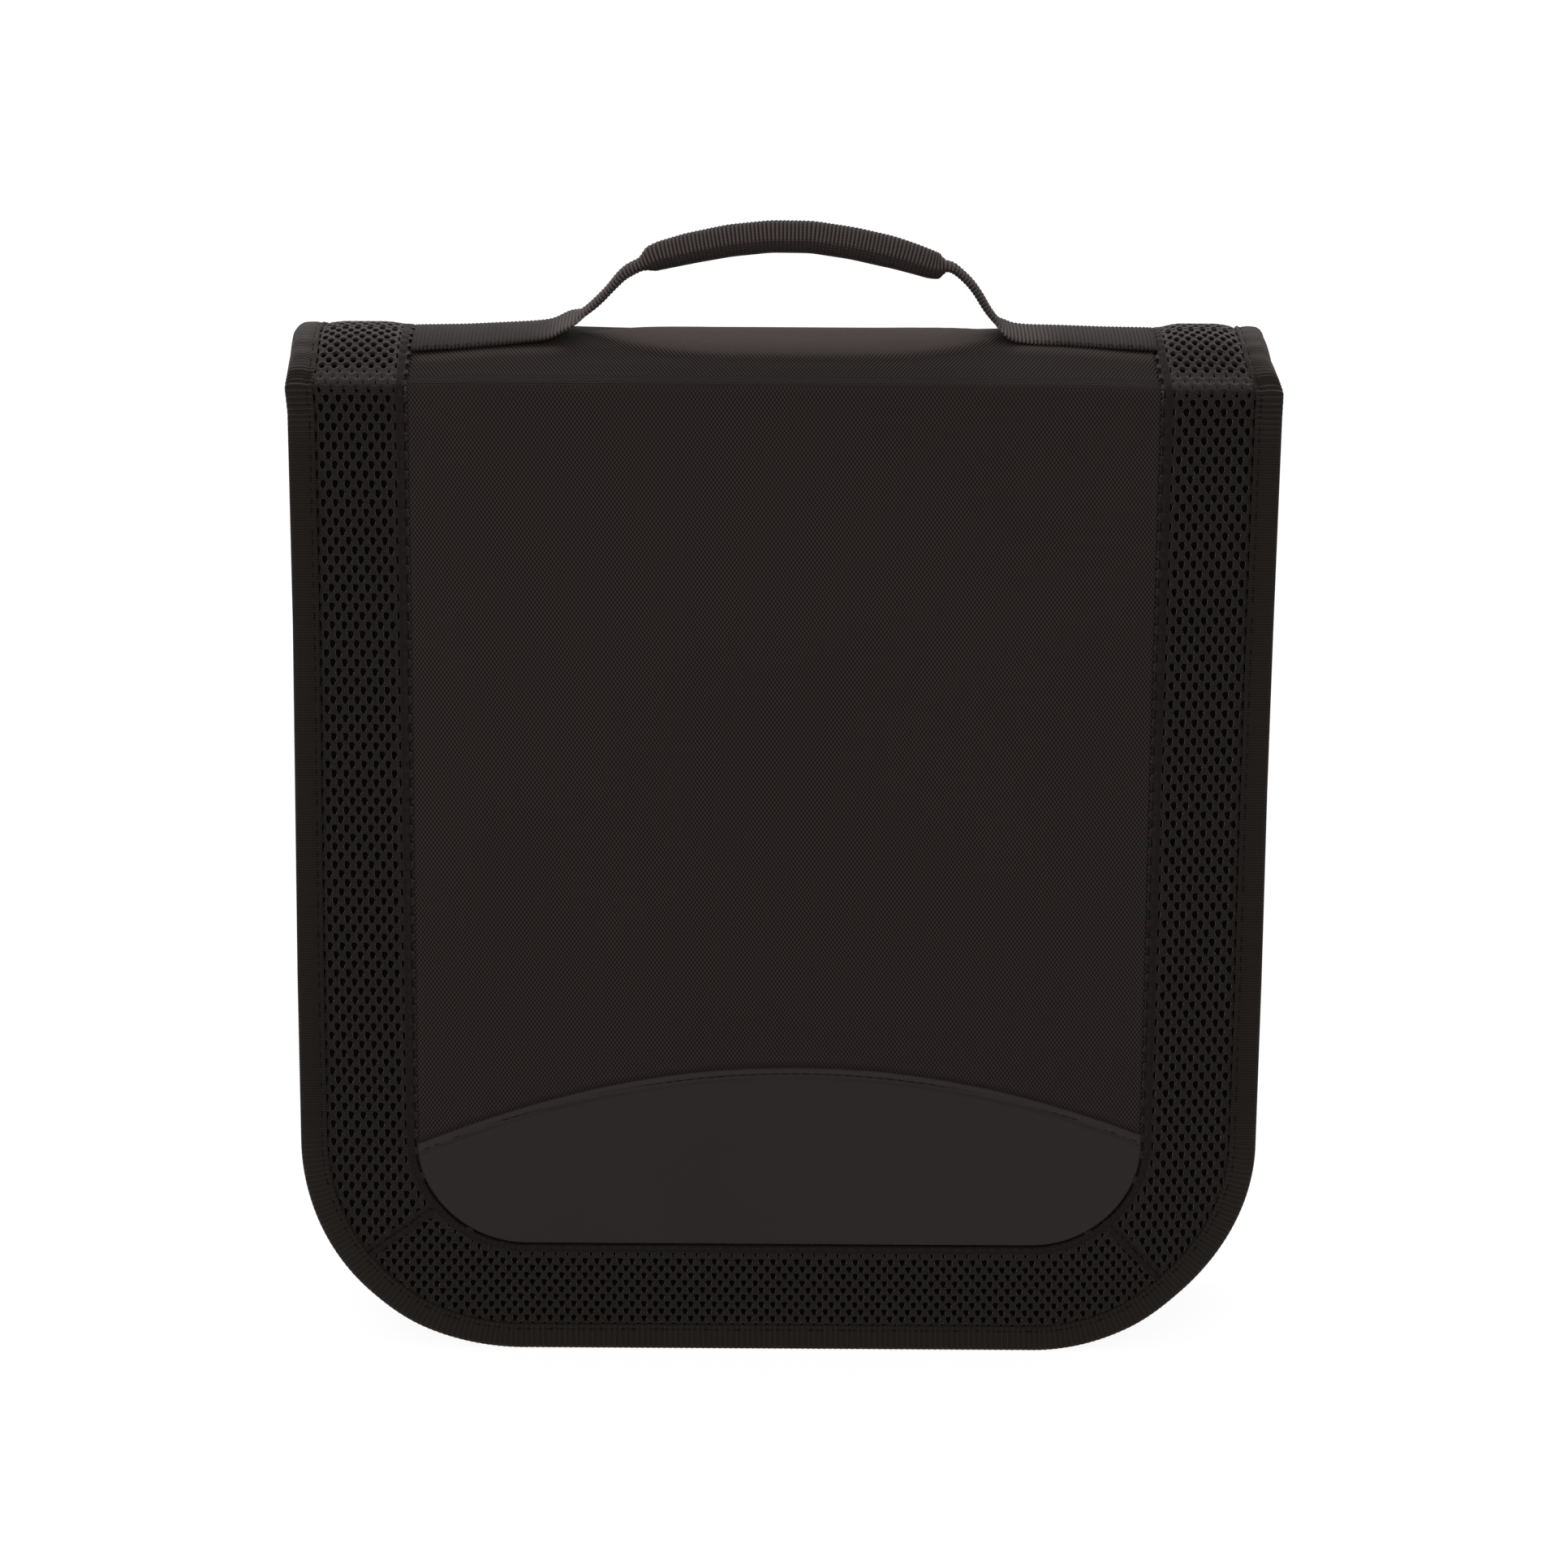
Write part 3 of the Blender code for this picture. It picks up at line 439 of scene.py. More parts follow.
def slab_faces(rows, columns):
    """Faces of a closed slab: an upper grid, a lower grid after it, and the rim between them."""
    faces = []
    lower = rows * columns
    for row in range(rows - 1):
        for column in range(columns - 1):
            a = row * columns + column
            faces.append((a, a + 1, a + columns + 1, a + columns))
            faces.append((lower + a, lower + a + columns, lower + a + columns + 1, lower + a + 1))
    around = list(range(columns))
    around += [row * columns + columns - 1 for row in range(1, rows)]
    around += [(rows - 1) * columns + column for column in range(columns - 2, -1, -1)]
    around += [row * columns for row in range(rows - 2, 0, -1)]
    for a, b in zip(around, around[1:] + around[:1]):
        faces.append((a, lower + a, lower + b, b))
    return faces


def lay_over(piece):
    """Bake the placement of cloth that crosses a cover's fold into its points; it is attached to no body."""
    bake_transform(piece)


def arch_height(across):
    """Height of the foot panel's arched upper edge."""
    return ARCH_TOP - ARCH_BEND * (np.asarray(across) - ARCH_MIDDLE) ** 2


def seam_run(across):
    """Distance from the crest to the seam round the lower corners, at a place across the cover."""
    beyond = np.clip(np.abs(across) - CORNER_START, 0, None)
    corner = CORNER_RADIUS - SEAM_INSET
    return CORNER_RUN + np.sqrt(np.clip(corner ** 2 - beyond ** 2, 0, None))


def spread(length, edge_steps, step):
    """Places from 0 to a length, close together at both ends and evenly spaced between."""
    edges = np.array(edge_steps) * MM
    middle = np.linspace(edges[-1], length - edges[-1], max(2, round((length - 2 * edges[-1]) / step) + 1))
    return np.concatenate((edges[:-1], middle, length - edges[:-1][::-1]))


def flat_rows(columns, rows):
    """Flat points of a cloth in rows: the same places across, and a run or one for each of them."""
    spread_rows = [np.broadcast_to(row, len(columns)) for row in rows]
    return np.concatenate([np.column_stack((columns, row, 0 * columns)) for row in spread_rows])


def with_underside(flat, thickness):
    """A cloth's upper points, and after them those of its underside."""
    under = flat.copy()
    under[:, 2] = np.minimum(-2.0 * MM, flat[:, 2] - thickness)
    return np.concatenate((flat, under))


def crest_sag(across, run):
    """The spine's cloth sinks between the handle's two ends, in a flat seat with a soft edge."""
    on_top = 1 - smooth(run, 0, 30 * MM)
    off_middle = (across / MM - SEAT_MIDDLE) / SEAT_HALF
    past_seat = run / MM - (SEAT_DEPTH - SEAT_BEND * off_middle ** 4)
    seat = 0.7 * MM * (1 - smooth(past_seat, -3, 3.5))
    hollow = 0.5 * MM * smooth(run, 12 * MM, 22 * MM) * (1 - smooth(run, 30 * MM, 42 * MM))
    under_feet = 0.6 * MM * on_top * np.exp(-(((np.abs(across) / MM) - 76) / 18) ** 2)
    return seat - hollow + under_feet - 1.5 * MM * on_top * (1 - smooth(np.abs(across), 15 * MM, 85 * MM))


twill_cloths = {
    FRONT: twill_material("black twill", TWILL_COLOUR, paint_lip_shadow=True),
    BACK: twill_material("black twill of the back", TWILL_COLOUR),
}
EDGE_STEPS = (0, 0.25, 0.6, 1.1, 1.7, 2.4, 3.6)
PANEL_HALF = HALF_WIDTH - SEAM_INSET - SEAM_GAP
UPPER_ROWS = np.concatenate(([0, 0.4, 1.2], np.linspace(2.4, 32, 19), np.linspace(33, 43, 14), [45, 48, 52]))
for prefix, side in COVERS:
    columns = spread(2 * PANEL_HALF, EDGE_STEPS, 4 * MM) - PANEL_HALF
    if side == FRONT:
        ends = run_at(arch_height(columns) - 3.5 * MM)
    else:
        ends = seam_run(columns) - SEAM_GAP
    shares = spread(1.0, (0, 1.5, 3.5, 6.5, 10, 15, 21), 0.018)
    rows = [row * MM for row in UPPER_ROWS]
    rows += [rows[-1] + (ends - rows[-1]) * share for share in shares if share > 0.5 * shares[1]]
    flat = flat_rows(columns, rows)
    to_edge = PANEL_HALF - np.abs(flat[:, 0])
    if side == BACK:
        corner = np.hypot(
            np.clip(np.abs(flat[:, 0]) - CORNER_START, 0, None),
            np.clip(flat[:, 1] - CORNER_RUN, 0, None),
        )
        below = flat[:, 1] > CORNER_RUN
        to_edge = np.where(below, np.minimum(to_edge, CORNER_RADIUS - SEAM_INSET - corner), to_edge)
    rolled = np.clip(to_edge, 0, TWILL_ROLL) / TWILL_ROLL
    flat[:, 2] = -1.5 * MM + 1.2 * MM * np.sqrt(1 - (1 - rolled) ** 2)
    flat[:, 2] += 0.5 * MM * smooth(to_edge, 0, 25 * MM)
    flat[:, 2] += crest_sag(flat[:, 0], flat[:, 1])
    both = with_underside(flat, 0.4 * MM)
    faces = slab_faces(len(rows), len(columns))
    skin = sewn(prefix + "_twill_skin", over_case(both, side), faces, both, twill_cloths[side])
    lay_over(skin)
    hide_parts(prefix + "_twill_panel", "spine_cover")


# Air mesh bands down both sides and along the bottom of each cover. The cloth is a knitted spacer mesh with
# staggered drop-shaped holes; the side bands run on over the ends of the spine, and a dark cloth backs them.
MESH_COLOUR = (0.0150, 0.0110, 0.0101)
HOLE_PITCH = 3.6 * MM
SIDE_ROW = 2.86 * MM
BOTTOM_ROW = 2.36 * MM
LEFT_SEAM = math.radians(37)
RIGHT_SEAM = math.radians(47)
MESH_TOP = -0.35 * MM
MESH_DEEP = 1.1 * MM
BAND_OUTER = 6.2 * MM
BAND_INNER = 33.4 * MM
KNIT_JOIN = 0.02 * MM

mesh_cloth, solid = finish_of("black air mesh", 0.8, 0.14, sheen=0.46)
across, run = on_cloth(solid)
loops = (across + solid.noise(400, 2) * 0.5).wave(0.62) * 0.4
loops = loops + (run + solid.noise(500, 2) * 0.4).wave(0.48) * 0.6
fuzz = solid.noise(1500, 3)
depth = solid.node("ShaderNodeAttribute", {"attribute_name": "depth"}, output=2) * 1000
# Painted shade in the holes: the cloth gets darker the deeper it lies below the mesh's top.
painted_hole_shade = 0.2 + 0.8 * depth.between(-1.0, -0.42)
tone = (loops * 0.5 + fuzz * 0.7 - 0.1).between(0.1, 1.0) * painted_hole_shade
tone = tone.tinted((0.0006, 0.0005, 0.0005), shade(MESH_COLOUR, 1.9))
connect(mesh_cloth, tone, 0.65 + 0.3 * fuzz, loops + fuzz * 0.8, 0.1)

backing_cloth, solid = finish_of("backing cloth", 0.95, 0.05)
connect(backing_cloth, solid.noise(1200, 2).tinted((0.0015, 0.0012, 0.0011), (0.006, 0.005, 0.0046)))


def repeating_nodes():
    """Nodes that set one small shape on every point, turned by its own angle, and join the result."""
    tree = bpy.data.node_groups.new("repeated shape", "GeometryNodeTree")
    tree.is_modifier = True
    identifiers = {}
    inputs = (
        ("Places", "NodeSocketGeometry"),
        ("Shape", "NodeSocketObject"),
        ("Size", "NodeSocketVector"),
        ("Join within", "NodeSocketFloat"),
        ("Finish", "NodeSocketMaterial"),
    )
    for name, kind in inputs:
        identifiers[name] = tree.interface.new_socket(name, in_out="INPUT", socket_type=kind).identifier
    tree.interface.new_socket("Result", in_out="OUTPUT", socket_type="NodeSocketGeometry")
    kinds = {
        "entry": "NodeGroupInput",
        "shape": "GeometryNodeObjectInfo",
        "turn": "GeometryNodeInputNamedAttribute",
        "upright": "ShaderNodeCombineXYZ",
        "rotation": "FunctionNodeEulerToRotation",
        "placed": "GeometryNodeInstanceOnPoints",
        "real": "GeometryNodeRealizeInstances",
        "joined": "GeometryNodeMergeByDistance",
        "finished": "GeometryNodeSetMaterial",
        "result": "NodeGroupOutput",
    }
    nodes = {name: tree.nodes.new(kind) for name, kind in kinds.items()}
    nodes["turn"].data_type = "FLOAT"
    nodes["turn"].inputs["Name"].default_value = "turn"
    links = (
        ("entry", "Places", "placed", "Points"),
        ("entry", "Shape", "shape", "Object"),
        ("shape", "Geometry", "placed", "Instance"),
        ("turn", "Attribute", "upright", "Z"),
        ("upright", 0, "rotation", 0),
        ("rotation", 0, "placed", "Rotation"),
        ("entry", "Size", "placed", "Scale"),
        ("placed", "Instances", "real", "Geometry"),
        ("real", "Geometry", "joined", "Geometry"),
        ("entry", "Join within", "joined", "Distance"),
        ("joined", "Geometry", "finished", "Geometry"),
        ("entry", "Finish", "finished", "Material"),
        ("finished", "Geometry", "result", 0),
    )
    for source, output, target, socket in links:
        tree.links.new(nodes[source].outputs[output], nodes[target].inputs[socket])
    return tree, identifiers


repeat_tree, repeat_inputs = repeating_nodes()


def small_shape(name, points, faces):
    """Keep a small shape ready to be repeated."""
    mesh = bpy.data.meshes.new(name)
    mesh.from_pydata([tuple(point) for point in points], [], faces)
    shape = bpy.data.objects.new(name, mesh)
    bpy.context.scene.collection.objects.link(shape)
    return shape


def repeated(name, shape, places, turns, size, join, material):
    """Set a small shape on flat places (across, run, height) and hand back the joined flat mesh."""
    source = bpy.data.meshes.new(name)
    source.from_pydata(np.asarray(places).tolist(), [], [])
    source.attributes.new("turn", "FLOAT", "POINT").data.foreach_set("value", np.asarray(turns, np.float32))
    holder = bpy.data.objects.new(name + "_places", source)
    bpy.context.scene.collection.objects.link(holder)
    modifier = holder.modifiers.new("repeat", "NODES")
    modifier.node_group = repeat_tree
    modifier[repeat_inputs["Shape"]] = shape
    modifier[repeat_inputs["Size"]] = size
    modifier[repeat_inputs["Join within"]] = join
    modifier[repeat_inputs["Finish"]] = material
    bpy.context.view_layer.update()
    evaluated = holder.evaluated_get(bpy.context.evaluated_depsgraph_get())
    mesh = bpy.data.meshes.new_from_object(evaluated)
    mesh.name = name
    bpy.data.objects.remove(holder)
    return mesh


def flat_points(mesh):
    """Points of a mesh as an array."""
    points = np.empty(len(mesh.vertices) * 3, np.float32)
    mesh.vertices.foreach_get("co", points)
    return points.reshape(-1, 3).astype(float)


def bent(name, mesh, side, material):
    """Bend a flat closed mesh over the case and put it in the scene."""
    flat = flat_points(mesh)
    mesh.attributes.new("depth", "FLOAT", "POINT").data.foreach_set("value", flat[:, 2].astype(np.float32))
    mesh.vertices.foreach_set("co", over_case(flat, side).astype(np.float32).ravel())
    return faced(name, mesh, flat, material)


def without_inner_walls(mesh):
    """Drop the walls that two joined cells share, so that the sheet is one closed solid."""
    sides = [tuple(sorted(face.vertices)) for face in mesh.polygons]
    count = {}
    for key in sides:
        count[key] = count.get(key, 0) + 1
    shape = bmesh.new()
    shape.from_mesh(mesh)
    shape.faces.ensure_lookup_table()
    doubled = [shape.faces[index] for index, key in enumerate(sides) if count[key] > 1]
    bmesh.ops.delete(shape, geom=doubled, context="FACES_ONLY")
    loose = [edge for edge in shape.edges if not edge.link_faces]
    bmesh.ops.delete(shape, geom=loose, context="EDGES")
    shape.to_mesh(mesh)
    shape.free()
    return mesh


def tube_faces(stations, sides):
    """Faces of a tube through rings of points, without its two ends."""
    faces = []
    for station in range(stations - 1):
        for step in range(sides):
            a, b = station * sides + step, station * sides + (step + 1) % sides
            faces.append((a, b, b + sides, a + sides))
    return faces


def ring_faces(stations, sides):
    """Faces of a tube whose last ring joins its first."""
    return [tuple(corner % (stations * sides) for corner in face) for face in tube_faces(stations + 1, sides)]


def knit_cell():
    """One cell of the mesh, for pitches of 1: a six-sided ring round a drop-shaped hole."""
    corners = [(0, 0.707), (-0.5, 0.293), (-0.5, -0.293), (0, -0.707), (0.5, -0.293), (0.5, 0.293)]
    border = []
    for (x, y), (x_next, y_next) in zip(corners, corners[1:] + corners[:1]):
        border += [(x, y, 0.08), ((x + x_next) / 2, (y + y_next) / 2, 0.02)]
    points = [(x, y, rise * MM) for x, y, rise in border]
    for wide, tall, level in ((0.27, 0.5, -0.1), (0.245, 0.46, -0.95)):
        for x, y, _ in border:
            angle = math.atan2(y / 0.8, x)
            narrow = 1 - 0.18 * math.sin(angle)
            points.append((wide * narrow * math.cos(angle), tall * math.sin(angle), level * MM))
    points += [(x, y, -MESH_DEEP + 0.05 * MM) for x, y, _ in border]
    return points, ring_faces(4, len(border))


def inset_of(across, run):
    """Distance in from the case's outline, and the angle round the lower corner from level."""
    beyond = np.abs(across) - CORNER_START
    below = run - CORNER_RUN
    in_corner = (beyond > 0) & (below > 0)
    straight = np.minimum(HALF_WIDTH - np.abs(across), BOTTOM_RUN - run)
    angle = np.where(in_corner, np.arctan2(below, beyond), np.where(below > 0, math.pi / 2, 0))
    return np.where(in_corner, CORNER_RADIUS - np.hypot(beyond, below), straight), angle


def hole_places(row, first_run, last_run):
    """Staggered places of the holes over a whole cover, in rows at a pitch."""
    columns = np.arange(-41, 42) * HOLE_PITCH
    places = []
    for index in range(int((last_run - first_run) / row) + 1):
        shift = HOLE_PITCH / 2 if index % 2 else 0
        places += [(x + shift, first_run + index * row, MESH_TOP) for x in columns]
    return np.array(places)


def pulled(flat, places, row):
    """Draw the holes of the bent-over cloth into slits at the fold, close them towards the band's edges, and
    let the cloth dip beside the binding."""
    grid = (flat[:, :2] - places[0, :2]) / (HOLE_PITCH / 2, row)
    line = np.round(grid[:, 1])
    nearest, best = None, None
    for step in (-1, 0, 1):
        rank = line + step
        column = 2 * np.round((grid[:, 0] - rank % 2) / 2) + rank % 2
        away = np.hypot((grid[:, 0] - column) * 0.5, grid[:, 1] - rank)
        spot = np.column_stack((column, rank))
        nearest = spot if best is None else np.where((away < best)[:, None], spot, nearest)
        best = away if best is None else np.minimum(away, best)
    centre = places[0, :2] + nearest * (HOLE_PITCH / 2, row)
    inset, _ = inset_of(centre[:, 0], centre[:, 1])
    folded = smooth(centre[:, 1], 27 * MM, 31 * MM) * (1 - smooth(centre[:, 1], 36 * MM, 41 * MM))
    shut = 1 - smooth(inset, 7.5 * MM, 10.5 * MM) + smooth(inset, 29.3 * MM, 31.5 * MM)
    in_hole = (flat[:, 2] < MESH_TOP - 0.05 * MM) & (flat[:, 2] > MESH_TOP - 1.0 * MM)
    share = np.where(in_hole, 1 - np.maximum(0.72 * folded, 0.55 * np.clip(shut, 0, 1)), 1)
    flat[:, 0] = centre[:, 0] + (flat[:, 0] - centre[:, 0]) * share
    flat[:, 1] = centre[:, 1] + (flat[:, 1] - centre[:, 1]) * np.where(in_hole, 1 - 0.45 * folded, 1)
    inset, _ = inset_of(flat[:, 0], flat[:, 1])
    flat[:, 2] -= 0.45 * MM * (1 - smooth(inset, 7.6 * MM, 9.8 * MM)) * (flat[:, 2] > -1.3 * MM)
    return flat


cell = small_shape("knit_cell", *knit_cell())
for prefix, side in COVERS:
    upright = hole_places(SIDE_ROW, SIDE_ROW / 2, BOTTOM_RUN)
    level = hole_places(BOTTOM_ROW, CORNER_RUN - 20 * MM, BOTTOM_RUN)
    bands = (("left", upright, SIDE_ROW), ("right", upright, SIDE_ROW), ("bottom", level, BOTTOM_ROW))
    for name, places, row in bands:
        inset, angle = inset_of(places[:, 0], places[:, 1])
        in_band = (inset > BAND_OUTER) & (inset < BAND_INNER)
        reach = np.maximum(CORNER_RADIUS - inset, 20 * MM)
        lower = np.where(places[:, 0] < 0, LEFT_SEAM, RIGHT_SEAM)
        if name == "bottom":
            kept = in_band & (angle > lower + 1.5 * MM / reach)
        else:
            this_side = places[:, 0] < 0 if name == "left" else places[:, 0] > 0
            kept = in_band & this_side & (angle < lower + 1.0 * MM / reach)
        size = (HOLE_PITCH, row, 1)
        chosen = places[kept]
        band_name = prefix + "_air_mesh_" + name
        mesh = repeated(band_name, cell, chosen, np.zeros(len(chosen)), size, KNIT_JOIN, mesh_cloth)
        mesh = without_inner_walls(mesh)
        flat = pulled(flat_points(mesh), places, row)
        mesh.vertices.foreach_set("co", flat.astype(np.float32).ravel())
        band = bent(band_name, mesh, side, mesh_cloth)
        if name == "bottom":
            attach(band, prefix + "_cover")
            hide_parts(prefix + "_mesh_bottom")
        else:
            lay_over(band)
            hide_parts(prefix + "_mesh_" + name, "spine_mesh_" + name)
bpy.data.objects.remove(cell)


def end_faces(stations, sides):
    """The two end faces of a tube."""
    return [tuple(range(sides)), tuple(range((stations - 1) * sides, stations * sides))[::-1]]


def edge_path(step):
    """Stations of the case's outline on the flat cloth, from the crest down the left side, round the bottom
    and up to the crest on the right: place, inward direction, and distance along."""
    down = np.linspace(0, CORNER_RUN, round(CORNER_RUN / step) + 1)
    turn = np.linspace(0, math.pi / 2, round(CORNER_RADIUS * math.pi / 2 / step) + 1)[1:]
    along = np.linspace(-CORNER_START, 0, round(CORNER_START / step) + 1)[1:]
    places = [(-HALF_WIDTH, run) for run in down]
    inward = [(1.0, 0.0)] * len(down)
    for angle in turn:
        out = (-math.cos(angle), math.sin(angle))
        places.append((-CORNER_START + CORNER_RADIUS * out[0], CORNER_RUN + CORNER_RADIUS * out[1]))
        inward.append((-out[0], -out[1]))
    places += [(x, BOTTOM_RUN) for x in along]
    inward += [(0.0, -1.0)] * len(along)
    places = np.array(places)
    inward = np.array(inward)
    flip = np.array((-1.0, 1.0))
    places = np.concatenate((places, (places * flip)[-2::-1]))
    inward = np.concatenate((inward, (inward * flip)[-2::-1]))
    steps = np.hypot(*np.diff(places, axis=0).T)
    return places, inward, np.concatenate(([0], np.cumsum(steps)))


def swept(name, path, section, side, material, ripple=None):
    """Carry a closed section of (inset, height) in millimetres along an edge path, bent over the case."""
    places, inward, along = path
    section = np.array(section) * MM
    count, sides = len(places), len(section)
    flat = np.zeros((count, sides, 3))
    flat[:, :, :2] = places[:, None] + inward[:, None] * section[None, :, :1]
    flat[:, :, 2] = section[None, :, 1]
    if ripple is not None:
        flat[:, :, 2] += ripple(along[:, None], section[None, :, 0], section[None, :, 1])
    girth = np.concatenate(([0], np.cumsum(np.hypot(*np.diff(section, axis=0).T))))
    fabric = np.stack((np.repeat(along, sides), np.tile(girth, count)), axis=1)
    points = over_case(flat.reshape(-1, 3), side)
    return sewn(name, points, tube_faces(count, sides) + end_faces(count, sides), fabric, material)


backing_path = edge_path(2.0 * MM)
BACKING_SECTION = [(3, -1.6), (34.6, -1.6), (34.6, -2.0), (3, -2.0)]
for prefix, side in COVERS:
    backing = swept(prefix + "_mesh_backing", backing_path, BACKING_SECTION, side, backing_cloth)
    lay_over(backing)


# Flat hems of the air mesh, where it is turned under along the inner seam and beside each corner seam. The
# fold presses the holes shut, and one row of stitches holds it down.
HEM_COLOUR = (0.0120, 0.0092, 0.0085)
HEM_OUTER = 31.9
HEM_STITCH = 34.45 * MM
STITCH_LENGTH = 2.5 * MM

hem_cloth, solid = finish_of("pressed hem", 0.85, 0.1, sheen=0.22)
along, across = on_cloth(solid)
fuzz = solid.noise(1100, 3)
pinched = (along + solid.noise(120, 2) * 2).wave(3.6) * across.wave(2.4)
tone = (fuzz * 0.8 + pinched * 0.3).between(0.1, 1.0).tinted(*shades(HEM_COLOUR, 0.65, 1.5))
connect(hem_cloth, tone, None, fuzz + pinched * 0.6 + along.wave(0.7) * 0.3, 0.14)

thread, solid = finish_of("black thread", 0.75, 0.08, sheen=0.04)
connect(thread, solid.noise(900, 2).tinted((0.0022, 0.0017, 0.0016), (0.0062, 0.0048, 0.0045)))


def hem_ripple(along, inset, height):
    """The hem puckers slightly between its stitches."""
    raised = np.where(height > -0.6 * MM, 1.0, 0.0)
    pucker = np.sin(2 * math.pi * along / (5.2 * MM)) * (0.6 + 0.4 * np.sin(2 * math.pi * along / (47 * MM)))
    return raised * 0.14 * MM * (pucker + 0.5 * np.sin(2 * math.pi * along / (2.9 * MM)))


hem_path = edge_path(1.3 * MM)
HEM_SECTION = [
    (HEM_OUTER, -1.5), (HEM_OUTER, -0.5), (32.2, -0.25), (32.9, -0.18), (33.4, -0.16), (33.9, -0.2),
    (34.2, -0.45), (34.45, -1.0), (34.5, -1.5),
]
for prefix, side in COVERS:
    hem = swept(prefix + "_inner_hem", hem_path, HEM_SECTION, side, hem_cloth, hem_ripple)
    lay_over(hem)


def thread_bead():
    """One stitch of length 1 along X: a six-sided thread that dips into the cloth at both ends."""
    points = []
    stations = ((-0.5, -0.9, 0.5), (-0.3, 0.1, 1.0), (0, 0.45, 1.0), (0.3, 0.1, 1.0), (0.5, -0.9, 0.5))
    for x, lift, swell in stations:
        for step in range(6):
            angle = math.pi * step / 3
            points.append((x, 0.5 * swell * math.cos(angle), lift * 0.3 + 0.5 * swell * math.sin(angle)))
    return points, tube_faces(5, 6) + [(5, 4, 3, 2, 1, 0), (24, 25, 26, 27, 28, 29)]


stitch = small_shape("stitch", *thread_bead())


def stitches(name, flat_line, thickness, side, length=STITCH_LENGTH, gap=0.7 * MM):
    """Sew along a flat line of (across, run, height) points."""
    line = np.asarray(flat_line, float)
    steps = np.hypot(*np.diff(line[:, :2], axis=0).T)
    along = np.concatenate(([0], np.cumsum(steps)))
    pitch = length + gap
    marks = np.arange(pitch / 2, along[-1] - pitch / 4, pitch)
    places = np.column_stack([np.interp(marks, along, axis) for axis in line.T])
    near = 0.3 * MM
    ahead = [np.interp(marks + near, along, axis) - np.interp(marks - near, along, axis) for axis in line.T]
    turns = np.arctan2(ahead[1], ahead[0])
    mesh = repeated(name, stitch, places, turns, (length, thickness, thickness), 0.0, thread)
    return bent(name, mesh, side, thread)


def along_edge(path, inset, height):
    """Flat line at an inset from the case's outline."""
    places, inward, _ = path
    line = places + inward * inset
    return np.column_stack((line, np.full(len(line), height)))


for prefix, side in COVERS:
    seam_line = along_edge(hem_path, HEM_STITCH, -0.75 * MM)
    seam = stitches(prefix + "_hem_stitches", seam_line, 0.42 * MM, side)
    lay_over(seam)


def corner_hem(prefix, side, name, angle, mirror):
    """Narrow strip beside the seam across the mesh at a lower corner, with its row of stitches."""
    centre = np.array((-CORNER_START, CORNER_RUN))
    out = np.array((-math.cos(angle), math.sin(angle)))
    aside = np.array((math.sin(angle), math.cos(angle)))
    radii = np.linspace(CORNER_RADIUS - 6.5 * MM, CORNER_RADIUS - 34.3 * MM, 24)
    profile = [
        (-1.5, -1.5), (-1.4, -0.45), (-0.6, -0.22), (-0.22, -0.55), (0, -1.0), (0.22, -0.5), (0.6, -0.12),
        (1.5, -0.2), (2.2, -0.42), (2.3, -1.5),
    ]
    flat = []
    for radius in radii:
        wander = 0.15 * MM * math.sin(radius / (2.3 * MM))
        for offset, height in profile:
            spot = centre + out * radius + aside * (offset * MM + wander)
            flat.append((-spot[0] if mirror else spot[0], spot[1], height * MM))
    stations, sides = len(radii), len(profile)
    faces = tube_faces(stations, sides) + end_faces(stations, sides)
    flat = np.array(flat)
    hem = sewn(f"{prefix}_corner_hem_{name}", over_case(flat, side), faces, flat, hem_cloth)
    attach(hem, prefix + "_cover")
    line = flat[4::sides] + (0, 0, 0.5 * MM)
    seam = stitches(f"{prefix}_corner_stitches_{name}", line, 0.5 * MM, side, 2.2 * MM, 0.2 * MM)
    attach(seam, prefix + "_cover")


for prefix, side in COVERS:
    corner_hem(prefix, side, "left", LEFT_SEAM, False)
    corner_hem(prefix, side, "right", RIGHT_SEAM, True)


# Binding: one grosgrain tape folded round the whole edge of each cover, from the crest down and round to the
# crest again. It is sewn through near its inner edge and stands up in small ribs, pulled smooth on the spine.
BINDING_COLOUR = (0.0142, 0.0110, 0.0090)
BINDING_STITCH = 6.65 * MM
RIB_PITCH = 1.7 * MM
SIDE_RIBS = (262, 285)
CORNER_RIBS = ((25, 31), (44, 58))
EDGE_LENGTH = 2 * (CORNER_RUN + CORNER_RADIUS * math.pi / 2 + CORNER_START)

binding_tape, solid = finish_of("black grosgrain", 0.8, 0.12, sheen=0.26)
along, across = on_cloth(solid)
fuzz = solid.noise(1300, 3)
cords = (along + solid.noise(300, 2) * 0.12).wave(0.85)
from_end = along.at_most(EDGE_LENGTH / MM - along)
ribbed = from_end.between(*SIDE_RIBS) + 1.4 * from_end.within(*CORNER_RIBS)
corner_ribs = (along + 0.35).wave(RIB_PITCH / MM) * ribbed
tone = (cords * 0.45 + fuzz * 0.45 + corner_ribs * 0.4).between(0.05, 1.1)
tone = tone.tinted(*shades(BINDING_COLOUR, 0.5, 1.6))
connect(binding_tape, tone, 0.7 + 0.25 * fuzz, cords + fuzz * 0.35, 0.13)


